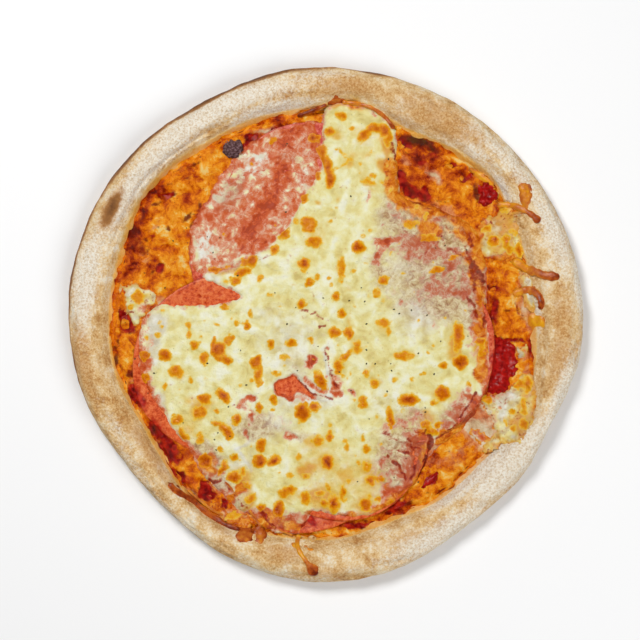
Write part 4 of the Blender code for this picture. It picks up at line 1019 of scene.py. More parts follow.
underTop, underMaps = drawUnderCheese()
surface, sliceBeds = drapeSlices(underTop)
cheeseTop, cheeseInside, cheeseMaps = drawUpperCheese(surface)


def makeCrustMaterial():
    material, tree = newMaterial("bread", 0.2, 0.85)
    grain = noise(tree, 1.2, 4.0, 0.7)
    blotch = noise(tree, 10.0, 6.0, 0.66)
    body = calc(tree, "MULTIPLY_ADD", blotch, 0.62, calc(tree, "MULTIPLY", grain, 0.38))
    shade = ramp(tree, body, [
        (0.37, (190, 132, 70)), (0.44, (220, 172, 108)), (0.5, (240, 204, 148)),
        (0.56, (250, 226, 184)), (0.62, (255, 244, 222)),
    ])
    toast = shaken(tree, mapped(tree, "toast"), 3.0, 0.9)
    golden = ramp(tree, grain, [(0.36, (188, 128, 66)), (0.5, (214, 158, 94)), (0.62, (228, 188, 130))])
    shade = laidOver(tree, shade, golden, toast, 0.2, 0.8, 0.8)
    # flour, and at one place painted light lifting the shade of the rim's inner slope
    flourAndLight = shaken(tree, mapped(tree, "flourAndLight"), 2.0, 1.1)
    pale = ramp(tree, grain, [(0.36, (216, 192, 156)), (0.46, (242, 224, 198)), (0.58, (254, 248, 234))])
    shade = laidOver(tree, shade, pale, flourAndLight, 0.2, 0.85, 0.95)
    char = shaken(tree, mapped(tree, "char"), 2.5, 0.6)
    singed = ramp(tree, char, [(0.3, (206, 156, 100)), (0.6, (170, 116, 64)), (0.95, (120, 76, 42))])
    shade = laidOver(tree, shade, singed, char, 0.2, 0.6)
    # the oil stain beside the toppings, its colours painted lighter than the stain as painted light
    # lifting the shade of the rim's inner slope
    stainAndLight = shaken(tree, mapped(tree, "stainAndLight"), 2.0, 1.2)
    greasyAndLit = ramp(tree, stainAndLight, [(0.15, (252, 232, 184)), (0.5, (252, 212, 120)), (0.9, (250, 172, 40))])
    shade = laidOver(tree, shade, greasyAndLit, stainAndLight, 0.12, 0.8, 0.7)
    height = calc(tree, "MULTIPLY_ADD", noise(tree, 1.0, 4.0, 0.65), 0.8, blotch)
    return finished(material, shade, height, 1.0, spread(tree, grain, -0.6, 1.2))


def makeUnderCheeseMaterial():
    material, tree = newMaterial("oilyCheese", 0.26)
    streaks = noise(tree, 7.5, 9.0, 0.76, 0.35)
    # the ridge shade map lightens the colour on ridges and darkens it in hollows, as painted light and
    # shade
    level = calc(tree, "MULTIPLY_ADD", mapped(tree, "ridgeShade"), 0.3, -0.15)
    level = calc(tree, "MULTIPLY_ADD", mapped(tree, "golden"), 0.38, level)
    level = calc(tree, "MULTIPLY_ADD", noise(tree, 24.0, 2.0), 0.8, calc(tree, "ADD", level, -0.4))
    level = calc(tree, "MULTIPLY_ADD", streaks, 2.6, calc(tree, "ADD", level, -0.75))
    shade = ramp(tree, level, [
        (0.02, (92, 12, 0)), (0.17, (146, 30, 0)), (0.33, (190, 66, 0)), (0.49, (222, 104, 0)),
        (0.66, (246, 142, 6)), (0.86, (254, 176, 44)), (1.08, (250, 210, 126)),
    ])
    cream = shaken(tree, mapped(tree, "cream"), 3.4, 1.0, 5.0)
    salmon = ramp(tree, streaks, [(0.34, (176, 70, 36)), (0.48, (220, 128, 76)), (0.62, (236, 172, 118))])
    shade = laidOver(tree, shade, salmon, cream, 0.15, 0.5, 0.8)
    pale = ramp(tree, streaks, [(0.34, (184, 134, 90)), (0.46, (220, 194, 150)), (0.6, (240, 228, 198))])
    shade = laidOver(tree, shade, pale, cream, 0.5, 1.0, 0.9)
    sauce = shaken(tree, mapped(tree, "sauce"), 3.2, 0.9)
    wet = noise(tree, 3.4, 4.0)
    red = ramp(tree, wet, [(0.34, (100, 2, 4)), (0.5, (158, 14, 6)), (0.66, (200, 44, 14))])
    shade = laidOver(tree, shade, red, sauce, 0.3, 0.65)
    dark = shaken(tree, mapped(tree, "burnt"), 1.8, 1.0)
    burn = laidOver(tree, paint(126, 28, 4), paint(52, 12, 8), dark, 0.7, 1.05)
    shade = laidOver(tree, shade, burn, dark, 0.3, 0.75, 0.92)
    shade = useGroup(tree, speckles, {"Colour": shade, "Amount": 0.7})
    height = calc(tree, "MULTIPLY_ADD", streaks, 2.0, noise(tree, 1.5, 4.0, 0.65))
    shine = calc(tree, "MULTIPLY_ADD", noise(tree, 4.0), 0.24, 0.08)
    return finished(material, shade, height, 0.8, shine)


def makeUpperCheeseMaterial():
    material, tree = newMaterial("paleCheese", 0.24)
    cloud = noise(tree, 8.0, 5.0, 0.6, 0.5)
    # the shred map lightens the colour on raised shreds as painted light, with the shreds' own tone
    level = calc(tree, "MULTIPLY_ADD", mapped(tree, "shredLightAndTone"), 0.28, calc(tree, "MULTIPLY", cloud, 0.9))
    shade = ramp(tree, level, [
        (0.36, (214, 192, 116)), (0.47, (229, 213, 138)), (0.58, (236, 226, 160)),
        (0.7, (242, 237, 188)), (0.82, (244, 242, 214)),
    ])
    grey = ramp(tree, level, [(0.38, (196, 180, 154)), (0.55, (218, 210, 190)), (0.75, (238, 236, 228))])
    milk = shaken(tree, mapped(tree, "milky"), 5.0, 0.9)
    shade = laidOver(tree, shade, grey, milk, 0.15, 0.95, 0.85)
    warm = shaken(tree, mapped(tree, "warm"), 3.0, 0.5)
    butter = ramp(tree, warm, [(0.2, (228, 202, 118)), (0.6, (228, 182, 68)), (1.0, (222, 146, 22))])
    shade = laidOver(tree, shade, butter, warm, 0.12, 0.8, 0.85)
    dusk = shaken(tree, mapped(tree, "dusky"), 4.0, 1.0)
    dull = ramp(tree, noise(tree, 4.0, 7.0, 0.72, 0.6), [
        (0.38, (150, 90, 60)), (0.45, (184, 140, 98)), (0.51, (208, 182, 138)), (0.61, (230, 216, 178)),
    ])
    shade = laidOver(tree, shade, dull, dusk, 0.15, 0.9, 0.85)
    # where it is thin the sausage below shows through, more where a noise is high
    thin = mapped(tree, "veil")
    see = calc(tree, "ADD", noise(tree, 5.0, 7.0, 0.7, 0.7), -0.5)
    wobble = calc(tree, "MULTIPLY", spread(tree, thin, 0.02, 0.4), 2.0)
    see = calc(tree, "MULTIPLY_ADD", see, wobble, thin)
    flesh = ramp(tree, see, [
        (0.12, (234, 214, 194)), (0.32, (228, 178, 148)), (0.5, (220, 134, 96)), (0.7, (210, 94, 42)),
        (0.9, (200, 68, 14)), (1.1, (172, 48, 4)),
    ])
    flesh = laidOver(tree, flesh, paint(172, 96, 70), dusk, 0.2, 0.9, 0.5)
    # thin pale veins of cheese, along the middle level of a noise
    veins = calc(tree, "ABSOLUTE", calc(tree, "ADD", noise(tree, 9.0, 4.0, 0.6, 0.5), -0.5))
    veins = calc(tree, "SUBTRACT", 1.0, spread(tree, veins, 0.004, 0.03))
    strength = calc(tree, "MULTIPLY", spread(tree, see, 0.5, 0.9), 0.4)
    veins = calc(tree, "MULTIPLY", veins, calc(tree, "SUBTRACT", 0.4, strength))
    flesh = mixed(tree, veins, flesh, paint(228, 202, 180))
    shade = laidOver(tree, shade, flesh, see, 0.1, 0.42, 0.97)
    oil = shaken(tree, mapped(tree, "oil"), 4.0, 1.2)
    orange = ramp(tree, noise(tree, 6.0, 6.0, 0.7, 0.8), [
        (0.36, (176, 64, 8)), (0.47, (214, 110, 16)), (0.56, (232, 148, 40)), (0.66, (240, 184, 88)),
    ])
    shade = laidOver(tree, shade, orange, oil, 0.3, 0.8)
    # painted shade in the gaps along the slices' edges, with the red-brown of the sausage's edge
    seamShade = shaken(tree, mapped(tree, "seamShade"), 2.6, 1.5)
    seamShadeColour = ramp(tree, seamShade, [(0.3, (188, 80, 34)), (0.6, (152, 34, 8)), (0.9, (108, 4, 2))])
    shade = laidOver(tree, shade, seamShadeColour, seamShade, 0.15, 0.6, 0.9)
    halo = calc(tree, "SUBTRACT", 1.0, spread(tree, thin, 0.1, 0.4))
    shade = useGroup(tree, browning, {"Colour": shade, "Mark": mapped(tree, "brown"), "Halo": halo})
    shade = useGroup(tree, speckles, {"Colour": shade, "Amount": 0.3})
    height = calc(tree, "MULTIPLY_ADD", noise(tree, 1.3, 3.0, 0.6), 0.4, noise(tree, 3.4, 6.0, 0.6, 0.4))
    return finished(material, shade, height, 1.1, calc(tree, "MULTIPLY_ADD", cloud, 0.24, 0.06))


def makeSausageMaterial():
    material, tree = newMaterial("sausage", 0.3)
    grain = noise(tree, 2.4, 6.0, 0.72)
    cool = ramp(tree, grain, [(0.34, (164, 44, 42)), (0.47, (208, 80, 70)), (0.6, (228, 134, 118))])
    hot = ramp(tree, grain, [(0.34, (164, 42, 14)), (0.47, (214, 84, 38)), (0.6, (232, 124, 68))])
    bake = shaken(tree, mapped(tree, "bake"), 9.0, 0.7)
    shade = laidOver(tree, cool, hot, bake, 0.2, 0.8)
    sauce = shaken(tree, mapped(tree, "sauce"), 3.0, 0.6)
    wet = noise(tree, 3.0, 4.0)
    red = ramp(tree, wet, [(0.36, (132, 8, 6)), (0.52, (178, 28, 14)), (0.66, (210, 64, 30))])
    shade = laidOver(tree, shade, red, sauce, 0.3, 0.9)
    warm = shaken(tree, mapped(tree, "warm"), 4.0, 0.8)
    shade = laidOver(tree, shade, paint(224, 112, 22), warm, 0.2, 0.9, 0.9)
    shade = useGroup(tree, speckles, {"Colour": shade, "Amount": 0.3})
    return finished(material, shade, grain, 0.3, calc(tree, "MULTIPLY_ADD", grain, 0.24, 0.12))


def makeSauceMaterial(name, dark, bright):
    material, tree = newMaterial(name, 0.34, 0.2)
    pulp = noise(tree, 2.6, 4.0, 0.65)
    shade = ramp(tree, pulp, [(0.3, dark), (0.68, bright)])
    shade = useGroup(tree, speckles, {"Colour": shade, "Amount": 0.4})
    return finished(material, shade, pulp, 0.6)


def makeCharMaterial():
    material, tree = newMaterial("char", 0.3, 0.75)
    crumb = noise(tree, 1.3, 5.0, 0.75)
    shade = ramp(tree, crumb, [(0.32, (60, 34, 34)), (0.5, (104, 70, 70)), (0.62, (160, 128, 132))])
    return finished(material, shade, crumb, 1.2)


def makeStrandMaterial():
    material, tree = newMaterial("brownedStrands", 0.4)
    patchy = noise(tree, 4.0, 5.0, 0.7)
    tone = calc(tree, "MULTIPLY_ADD", patchy, 1.6, calc(tree, "ADD", mapped(tree, "tone"), -0.8))
    shade = ramp(tree, tone, [
        (0, (236, 166, 24)), (0.2, (226, 140, 28)), (0.4, (208, 122, 42)), (0.6, (190, 92, 28)),
        (0.8, (160, 66, 14)), (1, (112, 34, 6)),
    ])
    return finished(material, shade, patchy, 0.5)


def makeHerbMaterial():
    material, tree = newMaterial("herb", 0.1, 0.9)
    shade = ramp(tree, noise(tree, 0.8, 2.0), [(0.4, (38, 34, 20)), (0.6, (92, 84, 52))])
    return finished(material, shade)


crustMaterial = makeCrustMaterial()
strandMaterial = makeStrandMaterial()
herbMaterial = makeHerbMaterial()
underCheeseMaterial = makeUnderCheeseMaterial()
upperCheeseMaterial = makeUpperCheeseMaterial()
sausageMaterial = makeSausageMaterial()
sauceMaterial = makeSauceMaterial("sauce", (110, 14, 10), (184, 42, 22))
tomatoMaterial = makeSauceMaterial("tomato", (112, 0, 4), (194, 26, 18))
charMaterial = makeCharMaterial()


def rimMarks(angle, across, marks):
    # highest of many bell-shaped marks along the rim
    total = np.zeros(np.broadcast(angle, across).shape)
    degrees = np.degrees(angle)
    for centre, halfWidth, place, halfAcross, strength in marks:
        aside = (degrees - centre + 180.0) % 360.0 - 180.0
        bell = np.exp(-((aside / halfWidth) ** 2) - ((across - place) / halfAcross) ** 2)
        total = np.maximum(total, strength * bell)
    return total


def makeCrust():
    # the section swept round the outline, puffed up unevenly, closed by a floor and a flat underside
    angle = circle(bread["columns"])[None, :]
    across, height = (values[:, None] for values in rimSection(bread["rimRings"]))
    foot = toppedEdge(angle)
    edge = crustEdge(angle)
    run = np.linspace(0.0, 3.2, bread["rimRings"])[:, None] + 0.0 * angle
    turns = angle / (2.0 * np.pi) * 60.0
    broad = latticeNoise(turns + 0.0 * run, run * 3.0, 101, 60)
    middle = latticeNoise(turns * 2.0 + 0.0 * run, run * 6.0, 103, 120)
    fine = latticeNoise(turns * 4.0 + 0.0 * run, run * 14.0, 102, 240)
    puff = 0.9 * broad + 0.45 * middle + 0.16 * fine
    visible = softStep((height - 0.02) / 0.2)
    radius = foot + across * (edge - foot) + 0.5 * puff * visible * softStep((across - 0.5) / 0.4)
    z = risen(height, angle) + 0.9 * puff * visible
    z = np.maximum(z - 1.0 * rimMarks(angle, across + 0.0 * angle, bread["creases"]), 0.0)
    inward = np.array([0.05, 0.3, 0.6, 0.9])[:, None] * radius[:1]
    base = np.array([0.95, 0.85, 0.7, 0.5, 0.3, 0.1])[:, None] * radius[-1:]
    rows = np.concatenate([inward, radius, base])
    heights = np.concatenate([np.full(inward.shape, bread["floor"]), z, np.zeros(base.shape)])
    above = np.ones((len(inward), 1))
    below = np.ones((len(base), 1))
    place = np.concatenate([-0.4 * above, across, 0.3 * below]) + 0.0 * angle
    onTop = np.arange(len(across))[:, None] < np.argmax(across) + 3
    upper = np.concatenate([above, onTop, 0.0 * below])
    stainWidth = 0.018 + 0.07 * rimMarks(angle, 0.0 * angle, bread["oily"])
    stainWidth = stainWidth + 0.03 * latticeNoise(turns * 0.5, 0.0 * angle + 3.3, 7, 30)
    # the oil stain beside the toppings, which also carries painted light onto the rim's inner slope
    stainAndLight = np.clip(1.0 - place / (2.2 * stainWidth), 0.0, 1.0)
    values = {
        # flour marks, one of them painted light on the rim's inner slope
        "flourAndLight": rimMarks(angle, place, bread["flouryAndLit"]) * upper + (1.0 - upper) * 0.25,
        "toast": np.maximum(rimMarks(angle, place, bread["toasted"]) * upper, (1.0 - upper) * 0.45),
        "char": rimMarks(angle, place, bread["charred"]) * np.maximum(upper, 0.5),
        "stainAndLight": stainAndLight * upper,
    }
    values = {label: ringValues(numbers) for label, numbers in values.items()}
    mesh = ringMesh(rows * np.cos(angle), rows * np.sin(angle), heights)
    return addPiece("bread", mesh, crustMaterial, ["crust"], values)


def discGrid(columns, shares):
    # grid over a disc: angles along its rows, shares of its radius down its columns
    return circle(columns)[None, :], shares[:, None]


sauceLook = {"level": 6.0, "floor": 4.9, "lumps": 0.4, "inset": 3.0}


def makeSauce():
    # a level disc with a lumpy top, out to the foot of the rim
    rings = 24
    shares = np.concatenate([np.linspace(0.05, 1.0, rings), np.linspace(0.98, 0.1, 6)])
    angle, share = discGrid(240, shares)
    radius = (toppedEdge(angle) - sauceLook["inset"]) * share
    x = radius * np.cos(angle)
    y = radius * np.sin(angle)
    top = sauceLook["level"] + sauceLook["lumps"] * lumps(x, y, 7.0, 201)
    z = np.where((np.arange(len(share)) < rings)[:, None], top, sauceLook["floor"])
    return addPiece("tomatoSauce", ringMesh(x, y, z), sauceMaterial, ["tomato_sauce"])


def makeUnderCheese():
    # a disc whose top follows the drawn heights, its rings closest where it shows
    steps = np.concatenate([np.linspace(0.04, 0.36, 7), np.linspace(0.38, 0.994, 117), [0.9985, 1.0]])
    angle, share = discGrid(720, np.concatenate([steps, np.linspace(1.0, 0.05, 5)]))
    wander = 1.4 * latticeNoise(angle / (2.0 * np.pi) * 60.0, 0.0 * angle + 2.5, 211, 60)
    wander = wander + 1.0 * latticeNoise(angle / (2.0 * np.pi) * 180.0, 0.0 * angle + 4.5, 213, 180)
    radius = (toppedEdge(angle) - 0.8 + wander) * share
    x = radius * np.cos(angle)
    y = radius * np.sin(angle)
    # its edge thins out on the bread
    toEdge = softStep((share - 0.96) / 0.04)
    top = sampled(underTop, x, y) * (1.0 - toEdge) + (rimTop(x, y) + 0.15) * toEdge
    z = np.where((np.arange(len(share)) < len(steps))[:, None], top, np.minimum(top - 1.0, 6.3))
    values = {label: ringValues(sampled(numbers, x, y)) for label, numbers in underMaps.items()}
    mesh = ringMesh(x, y, z)
    return addPiece("oilyCheese", mesh, underCheeseMaterial, ["cheese_under"], values)


def makeSlice(order, one):
    # a thin disc with a rounded edge, not quite round, draped over its bed
    rings = 30
    edge = [0.985, 0.997, 1.0, 0.997, 0.985]
    steps = np.concatenate([np.linspace(0.04, 0.96, rings), edge, np.linspace(0.9, 0.1, 5)])
    lift = np.concatenate([np.full(rings, sliceThickness), [0.79, 0.66, 0.4, 0.14, 0.01], np.zeros(5)])
    angle, share = discGrid(200, steps)
    uneven = 1.0 + 0.008 * np.sin(3.0 * angle + order) + 0.005 * np.sin(7.0 * angle + 2.0 * order)
    uneven = uneven + 0.004 * latticeNoise(angle / (2.0 * np.pi) * 40.0, 0.0 * angle + order, 221, 40)
    radius = one["radius"] * uneven * share
    x = one["x"] + radius * np.cos(angle)
    y = one["y"] + radius * np.sin(angle)
    z = sampled(sliceBeds[order], x, y) + lift[:, None]
    name = one["node"].replace("pepperoni_", "slice_")
    values = {
        "bake": one["bake"] + 0.25 * softStep((share - 0.85) / 0.15) + 0.0 * angle,
        "sauce": sampled(underMaps["sauce"], x, y),
        "warm": sampled(underMaps["golden"], x, y),
    }
    values = {label: ringValues(numbers) for label, numbers in values.items()}
    return addPiece(name, ringMesh(x, y, z), sausageMaterial, [one["node"]], values)


def makeUpperCheese():
    # a thin slab over the slices that follows the drawn heights
    step = upperLook["meshStep"]
    x, y = np.meshgrid(np.arange(-114.0, 118.0, step), np.arange(-122.0, 132.0, step))
    top = sampled(cheeseTop, x, y)
    above = top - sampled(surface, x, y)
    wanted = (above > -0.35) & (sampled(cheeseInside, x, y) > -1.5)
    keep = wanted[:-1, :-1] | wanted[1:, :-1] | wanted[:-1, 1:] | wanted[1:, 1:]
    mesh, used = shellMesh(x, y, top, np.minimum(top - 0.2, sampled(surface, x, y) - 0.6), keep)
    values = {label: sampled(numbers, x, y).ravel()[used] for label, numbers in cheeseMaps.items()}
    return addPiece("paleCheese", mesh, upperCheeseMaterial, ["cheese_upper"], values)


# clumps beside the slices: the solid that each stands for, its thickness, roughness, marks and outline
patches = [
    {
        "node": "cheese_patch_left", "thickness": 1.3, "rough": 0.5,
        "brown": [(-108.5, 15.5, 7.0, 8.2, 0.5), (-112.5, 10, 3.5, 3.5, 0.4)],
        "warm": [(-106, 16, 8, 12, 0.4), (-101, 7, 8, 6, 0.5)],
        "milky": [(-113, 18, 10, 10, 0.9), (-110, 4, 6, 8, 0.8)], "thin": [(-104, 10, 8, 8, 0.5)],
        "outline": [
            (-118.5, 22), (-112, 24), (-104, 23), (-97, 17), (-97.5, 12), (-103, 6.5), (-105, 1),
            (-110, -2.5), (-114.5, 3), (-118, 11.5),
        ],
    },
    {
        "node": "cheese_patch_upper_right", "thickness": 1.2, "rough": 0.5,
        "brown": [
            (98, 48.5, 5.5, 5, 1), (105, 48, 3.6, 6, 0.95), (107, 43.5, 3.2, 4, 0.8, 30),
            (112.5, 42.5, 4, 6, 0.95), (103, 66, 6, 3, 0.4, -10), (109, 53, 5, 2.4, 0.5, -40),
            (94, 55, 6, 3, 0.5, 30),
        ],
        "warm": [
            (98, 48, 10, 10, 0.6), (106, 47, 7, 14, 0.6), (112, 42, 6, 9, 0.8), (107, 54, 10, 6, 0.6),
            (102, 62, 22, 8, 0.6, 10), (108, 66, 14, 5, 0.8, -5), (89, 46, 6, 12, 0.9),
            (100, 37, 18, 6, 1.1), (91, 58, 8, 8, 0.7), (109, 38, 10, 5, 1.2), (100, 50, 26, 34, 0.3),
            (102, 57, 14, 10, 0.4), (110, 64, 8, 8, 0.5),
        ],
        "milky": [(102, 59.5, 14, 4, 0.5, 10)],
        "oil": [(108, 38, 14, 8, 1.2), (88, 54, 9, 12, 1.3), (106, 66, 20, 4, 0.8), (96, 37, 12, 5, 1.0)],
        "thin": [(85, 48, 6, 10, 0.5), (91, 60, 7, 4, 0.5)],
        "outline": [
            (86, 55), (91, 61), (97, 63.5), (105, 69), (113, 68), (116, 64), (112.5, 60), (110.5, 55),
            (113.5, 51), (115, 44), (114, 38), (110, 37.5), (106, 33), (101, 37), (95, 35), (90, 40),
            (85.5, 43), (88, 48),
        ],
    },
    {
        "node": "cheese_patch_lower_right", "thickness": 1.4, "rough": 0.5,
        "brown": [
            (115, -48, 4, 10, 0.42), (113, -35, 5, 5, 0.6), (115, -58, 5, 6, 0.6),
            (108.5, -50.5, 4, 4, 0.34), (109, -60.5, 4, 4, 0.34), (117.5, -34.5, 4.5, 9, 0.7),
            (105, -57, 1.5, 2.5, 0.5), (94.5, -44, 6, 5, 0.5, -20),
        ],
        "warm": [
            (116, -50, 9, 26, 0.6), (118, -36, 8, 14, 0.9), (109, -55, 12, 14, 0.35),
            (108, -60, 10, 8, 0.4), (115, -60, 9, 12, 0.6), (102, -68, 12, 5, 0.2, 10),
            (94, -44, 8, 6, 0.9),
        ],
        "milky": [
            (102, -50, 8, 18, 1, 15), (107, -42, 12, 10, 1), (109, -66, 8, 5, 0.7),
            (92, -46, 5, 8, 1),
        ],
        "thin": [(98, -42, 6, 6, 0.7), (106, -42, 8, 7, 0.3), (97, -54, 5, 12, 0.3)],
        "outline": [
            (90, -40), (97, -40), (104, -38.5), (109, -34), (114, -29), (119, -29.5), (122, -36),
            (122, -44), (121.5, -54), (118, -64), (111, -70), (102, -69.5), (97.5, -63), (96, -54),
            (95, -49), (90, -47),
        ],
    },
]


def groundUnderClumps():
    # the slices and the cheese up to the edge of the toppings, and the rim beyond them, blurred
    ground = np.where(fromMiddle < edgeOfToppings + 1.5, surface, 0.0)
    ground = np.maximum(ground, np.where(fromMiddle > 112.0, rimTop(rasterX, rasterY), 0.0))
    return blurred(ground, 1.2)


clumpGround = groundUnderClumps()


def clumpMesh(outline, thickness, rough, ragged=1.0):
    # a slab on the ground inside a ragged outline: rounded edge, lumpy top of the given roughness
    step = 0.45
    low = np.min(outline, axis=0) - 4.0
    high = np.max(outline, axis=0) + 4.0
    x, y = np.meshgrid(np.arange(low[0], high[0], step), np.arange(low[1], high[1], step))
    awayX = 1.8 * lumps(x, y, 6.0, 301, 3) + 0.8 * lumps(x, y, 2.4, 303, 2)
    awayY = 1.8 * lumps(x, y, 6.0, 311, 3) + 0.8 * lumps(x, y, 2.4, 313, 2)
    inside = outlineDepth(outline, x + ragged * awayX, y + ragged * awayY)
    base = sampled(clumpGround, x, y)
    swell = thickness * roundedEdge(inside / 5.0) + rough * lumps(x, y, 5.0, 321, 3)
    top = base + np.where(inside > 0.0, swell * softStep(inside / 2.0), inside * 0.5) - 0.2
    wanted = inside > -1.0
    keep = wanted[:-1, :-1] & wanted[1:, :-1] & wanted[:-1, 1:] & wanted[1:, 1:]
    mesh, used = shellMesh(x, y, top, base - 1.4, keep)
    return mesh, used, x, y, inside


# small flat clumps that stand for no solid
smallClumps = [
    {
        "thickness": 0.5, "rough": 0.25, "warm": [(113, 24, 8, 12, 0.6), (116, 11, 6, 10, 0.6)],
        "milky": [(119, 18, 9, 24, 0.9)],
        "outline": [
            (112, 30), (118, 30), (122.5, 27), (121, 23.5), (123.5, 20), (122, 14), (124, 9), (120, 7),
            (116.5, 9), (114, 15), (114.5, 22), (111, 26),
        ],
    },
    {
        "thickness": 1.3, "rough": 0.6, "milky": [(113, -17, 10, 12, 1.4)],
        "outline": [(110, -13), (114, -12.5), (116.5, -15), (116, -20), (113, -21.5), (110, -19)],
    },
    {
        "thickness": 0.8, "rough": 0.3, "milky": [(-8, -126, 8, 8, 1.4)],
        "outline": [(-10.5, -123.5), (-6, -124), (-5, -127.5), (-9, -128.5)],
    },
    {
        "thickness": 0.5, "rough": 0.3, "oily": 0.9, "brown": [(-53, -111, 10, 4, 0.35, 20)],
        "warm": [(-56, -111, 30, 12, 0.7, -30)], "thin": [(-60, -108, 14, 6, 0.4, -30)],
        "outline": [
            (-72, -101), (-64, -103), (-56, -107), (-46, -109), (-42, -114), (-46, -118.5), (-54, -116.5),
            (-63, -111), (-70, -106),
        ],
    },
    {
        "thickness": 1.0, "rough": 0.6, "milky": [(98, -52, 10, 20, 1.4)],
        "thin": [(98, -56, 4, 12, 0.4, 20)],
        "outline": [
            (93, -46), (97, -47), (101, -50), (103, -57), (101, -63), (97, -61), (96, -54), (92, -50),
        ],
    },
    {
        "thickness": 0.9, "rough": 0.6, "oily": 0.4, "milky": [(92, -65, 14, 14, 0.8)],
        "thin": [(90, -64, 14, 6, 0.6, -40), (86, -60, 6, 4, 0.6), (94, -69, 5, 4, 0.6)],
        "outline": [(84, -58), (90, -60), (95, -65), (98, -70), (93, -71), (87, -68), (83, -64)],
    },
    {
        "thickness": 0.8, "rough": 0.5, "warm": [(100, -68, 12, 8, 0.2)],
        "milky": [(99, -69, 14, 8, 0.6, -20)],
        "outline": [
            (94, -67), (98, -64), (103, -63.5), (105, -67), (101.5, -70.5), (97, -73), (92.5, -75),
            (91.5, -72),
        ],
    },
    {
        "thickness": 0.9, "rough": 0.6, "warm": [(-62, -92, 8, 8, 0.3)],
        "milky": [(-62, -93, 14, 10, 1.1)], "thin": [(-66, -92, 8, 3, 0.8, -20)],
        "outline": [(-69, -90), (-64, -92), (-58, -91), (-57, -95), (-61, -97.5), (-66, -96)],
    },
]


def clumpMarks(one, x, y, inside):
    # colour maps of a clump: its own marks, orange and golden along its edge, and noise
    marks = {
        label: sampled(bellMap(one.get(label, []), looseX, looseY), x, y)
        for label in ("warm", "milky", "oil", "thin")
    }
    inner = softStep((edgeAt(x, y) - 5.0) / 4.0)
    oil = (0.2 + 0.8 * inner) * softStep((3.0 - inside) / 3.0) + 0.6 * lumps(x, y, 7.0, 341, 2)
    golden = (0.7 - 0.4 * inner) * softStep((4.0 - inside) / 4.0) + 0.4 * lumps(x, y, 6.0, 361, 3)
    return {
        "brown": sampled(ovalMap(one.get("brown", []), crispX, crispY, 0.45, 0.26, 0.3), x, y),
        "veil": marks["thin"],
        # a lumpy noise that lightens and darkens the clump in place of the shreds' painted light and tone
        "shredLightAndTone": 0.5 + 0.8 * lumps(x, y, 3.4, 331, 3),
        "milky": marks["milky"],
        "oil": oil + one.get("oily", 0.0) + marks["oil"],
        "warm": marks["warm"] + 0.15 + golden,
        # thin dark lines along a noise's zero: painted shade between the clump's strands
        "seamShade": 0.42 * softStep(1.0 - np.abs(lumps(x, y, 7.0, 381, 3)) / 0.12),
        "dusky": 0.3 + 0.5 * lumps(x, y, 6.0, 371, 2),
    }


def patchParts(one):
    mesh, used, x, y, inside = clumpMesh(one["outline"], one["thickness"], one["rough"])
    values = clumpMarks(one, x, y, inside)
    return mesh, {label: numbers.ravel()[used] for label, numbers in values.items()}


def makePatches():
    for one in patches:
        mesh, values = patchParts(one)
        name = one["node"].replace("_", "")
        addPiece(name, mesh, upperCheeseMaterial, [one["node"]], values)
    meshes, values = zip(*[patchParts(one) for one in smallClumps])
    values = {label: np.concatenate([part[label] for part in values]) for label in values[0]}
    addPiece("smallClumps", joined(meshes), upperCheeseMaterial, [], values)


def lumpMesh(x, y, z, length, width, height, turn, seed, steps=(48, 26)):
    # a flattened ball with an uneven skin, its lower half cut short
    rough = 0.3
    angle = circle(steps[0])[None, :]
    polar = np.linspace(0.06, 0.94, steps[1])[:, None] * np.pi
    u = np.cos(angle) * np.sin(polar)
    v = np.sin(angle) * np.sin(polar) + np.cos(polar)
    skin = 1.0 + rough * latticeNoise(3.0 * u + 7.0, 3.0 * v + 9.0, seed)
    skin = skin + 0.5 * rough * latticeNoise(7.0 * u + 5.0, 7.0 * v + 13.0, seed + 1)
    a = 0.5 * length * np.sin(polar) * np.cos(angle) * skin
    b = 0.5 * width * np.sin(polar) * np.sin(angle) * skin
    up = np.cos(polar) * skin
    up = np.where(up > 0.0, up * height, up * 1.2)
    c = math.cos(math.radians(turn))
    s = math.sin(math.radians(turn))
    return ringMesh(x + a * c - b * s, y + a * s + b * c, z + up)


def edgeAt(x, y):
    # how far inside the edge of the toppings a place lies
    return toppedEdge(np.arctan2(y, x)) - np.hypot(x, y)


def heightAt(values, x, y):
    # height at one place: the higher of a raster map and, near the edge of the toppings, the rim
    x = np.array([[float(x)]])
    y = np.array([[float(y)]])
    rim = rimTop(x, y)[0, 0] if np.hypot(x, y)[0, 0] > 118.0 else 0.0
    return float(max(sampled(values, x, y)[0, 0], rim))


# pieces of tomato: the solid that each stands for, its thickness, roughness and outline
tomatoPieces = [
    {"node": "tomato_piece_right", "thickness": 1.5, "rough": 0.9, "outline": [
        (97, -9), (104, -8), (110, -10), (111.5, -18), (111, -26), (109, -34), (104.5, -40), (98, -42),
        (94, -38), (94, -30), (96.5, -22), (97, -15)]},
    {"node": "tomato_piece_upper_right", "thickness": 2.2, "rough": 1.3, "outline": [
        (88.5, 73), (88.5, 79), (92, 82.5), (96.5, 81), (99, 76.5), (98, 71), (94.5, 68), (90.5, 69)]},
    {"node": "tomato_piece_lower_right", "thickness": 1.6, "rough": 0.7, "outline": [
        (55, -95.5), (58, -89), (62, -85.5), (66, -85), (65.5, -89), (62.5, -94), (59, -97)]},
]


def makeTomatoPieces():
    for one in tomatoPieces:
        mesh = clumpMesh(one["outline"], one["thickness"], one["rough"])[0]
        addPiece(one["node"].replace("_", ""), mesh, tomatoMaterial, [one["node"]])


charredBit = {"x": -53.6, "y": 101.5, "length": 11.5, "width": 9.4, "height": 3.0, "turn": 25}


def makeCharredBit():
    ground = heightAt(surface, charredBit["x"], charredBit["y"])
    mesh = lumpMesh(**charredBit, z=ground - 0.2, seed=431)
    return addPiece("charredBit", mesh, charMaterial, ["charred_bit"])


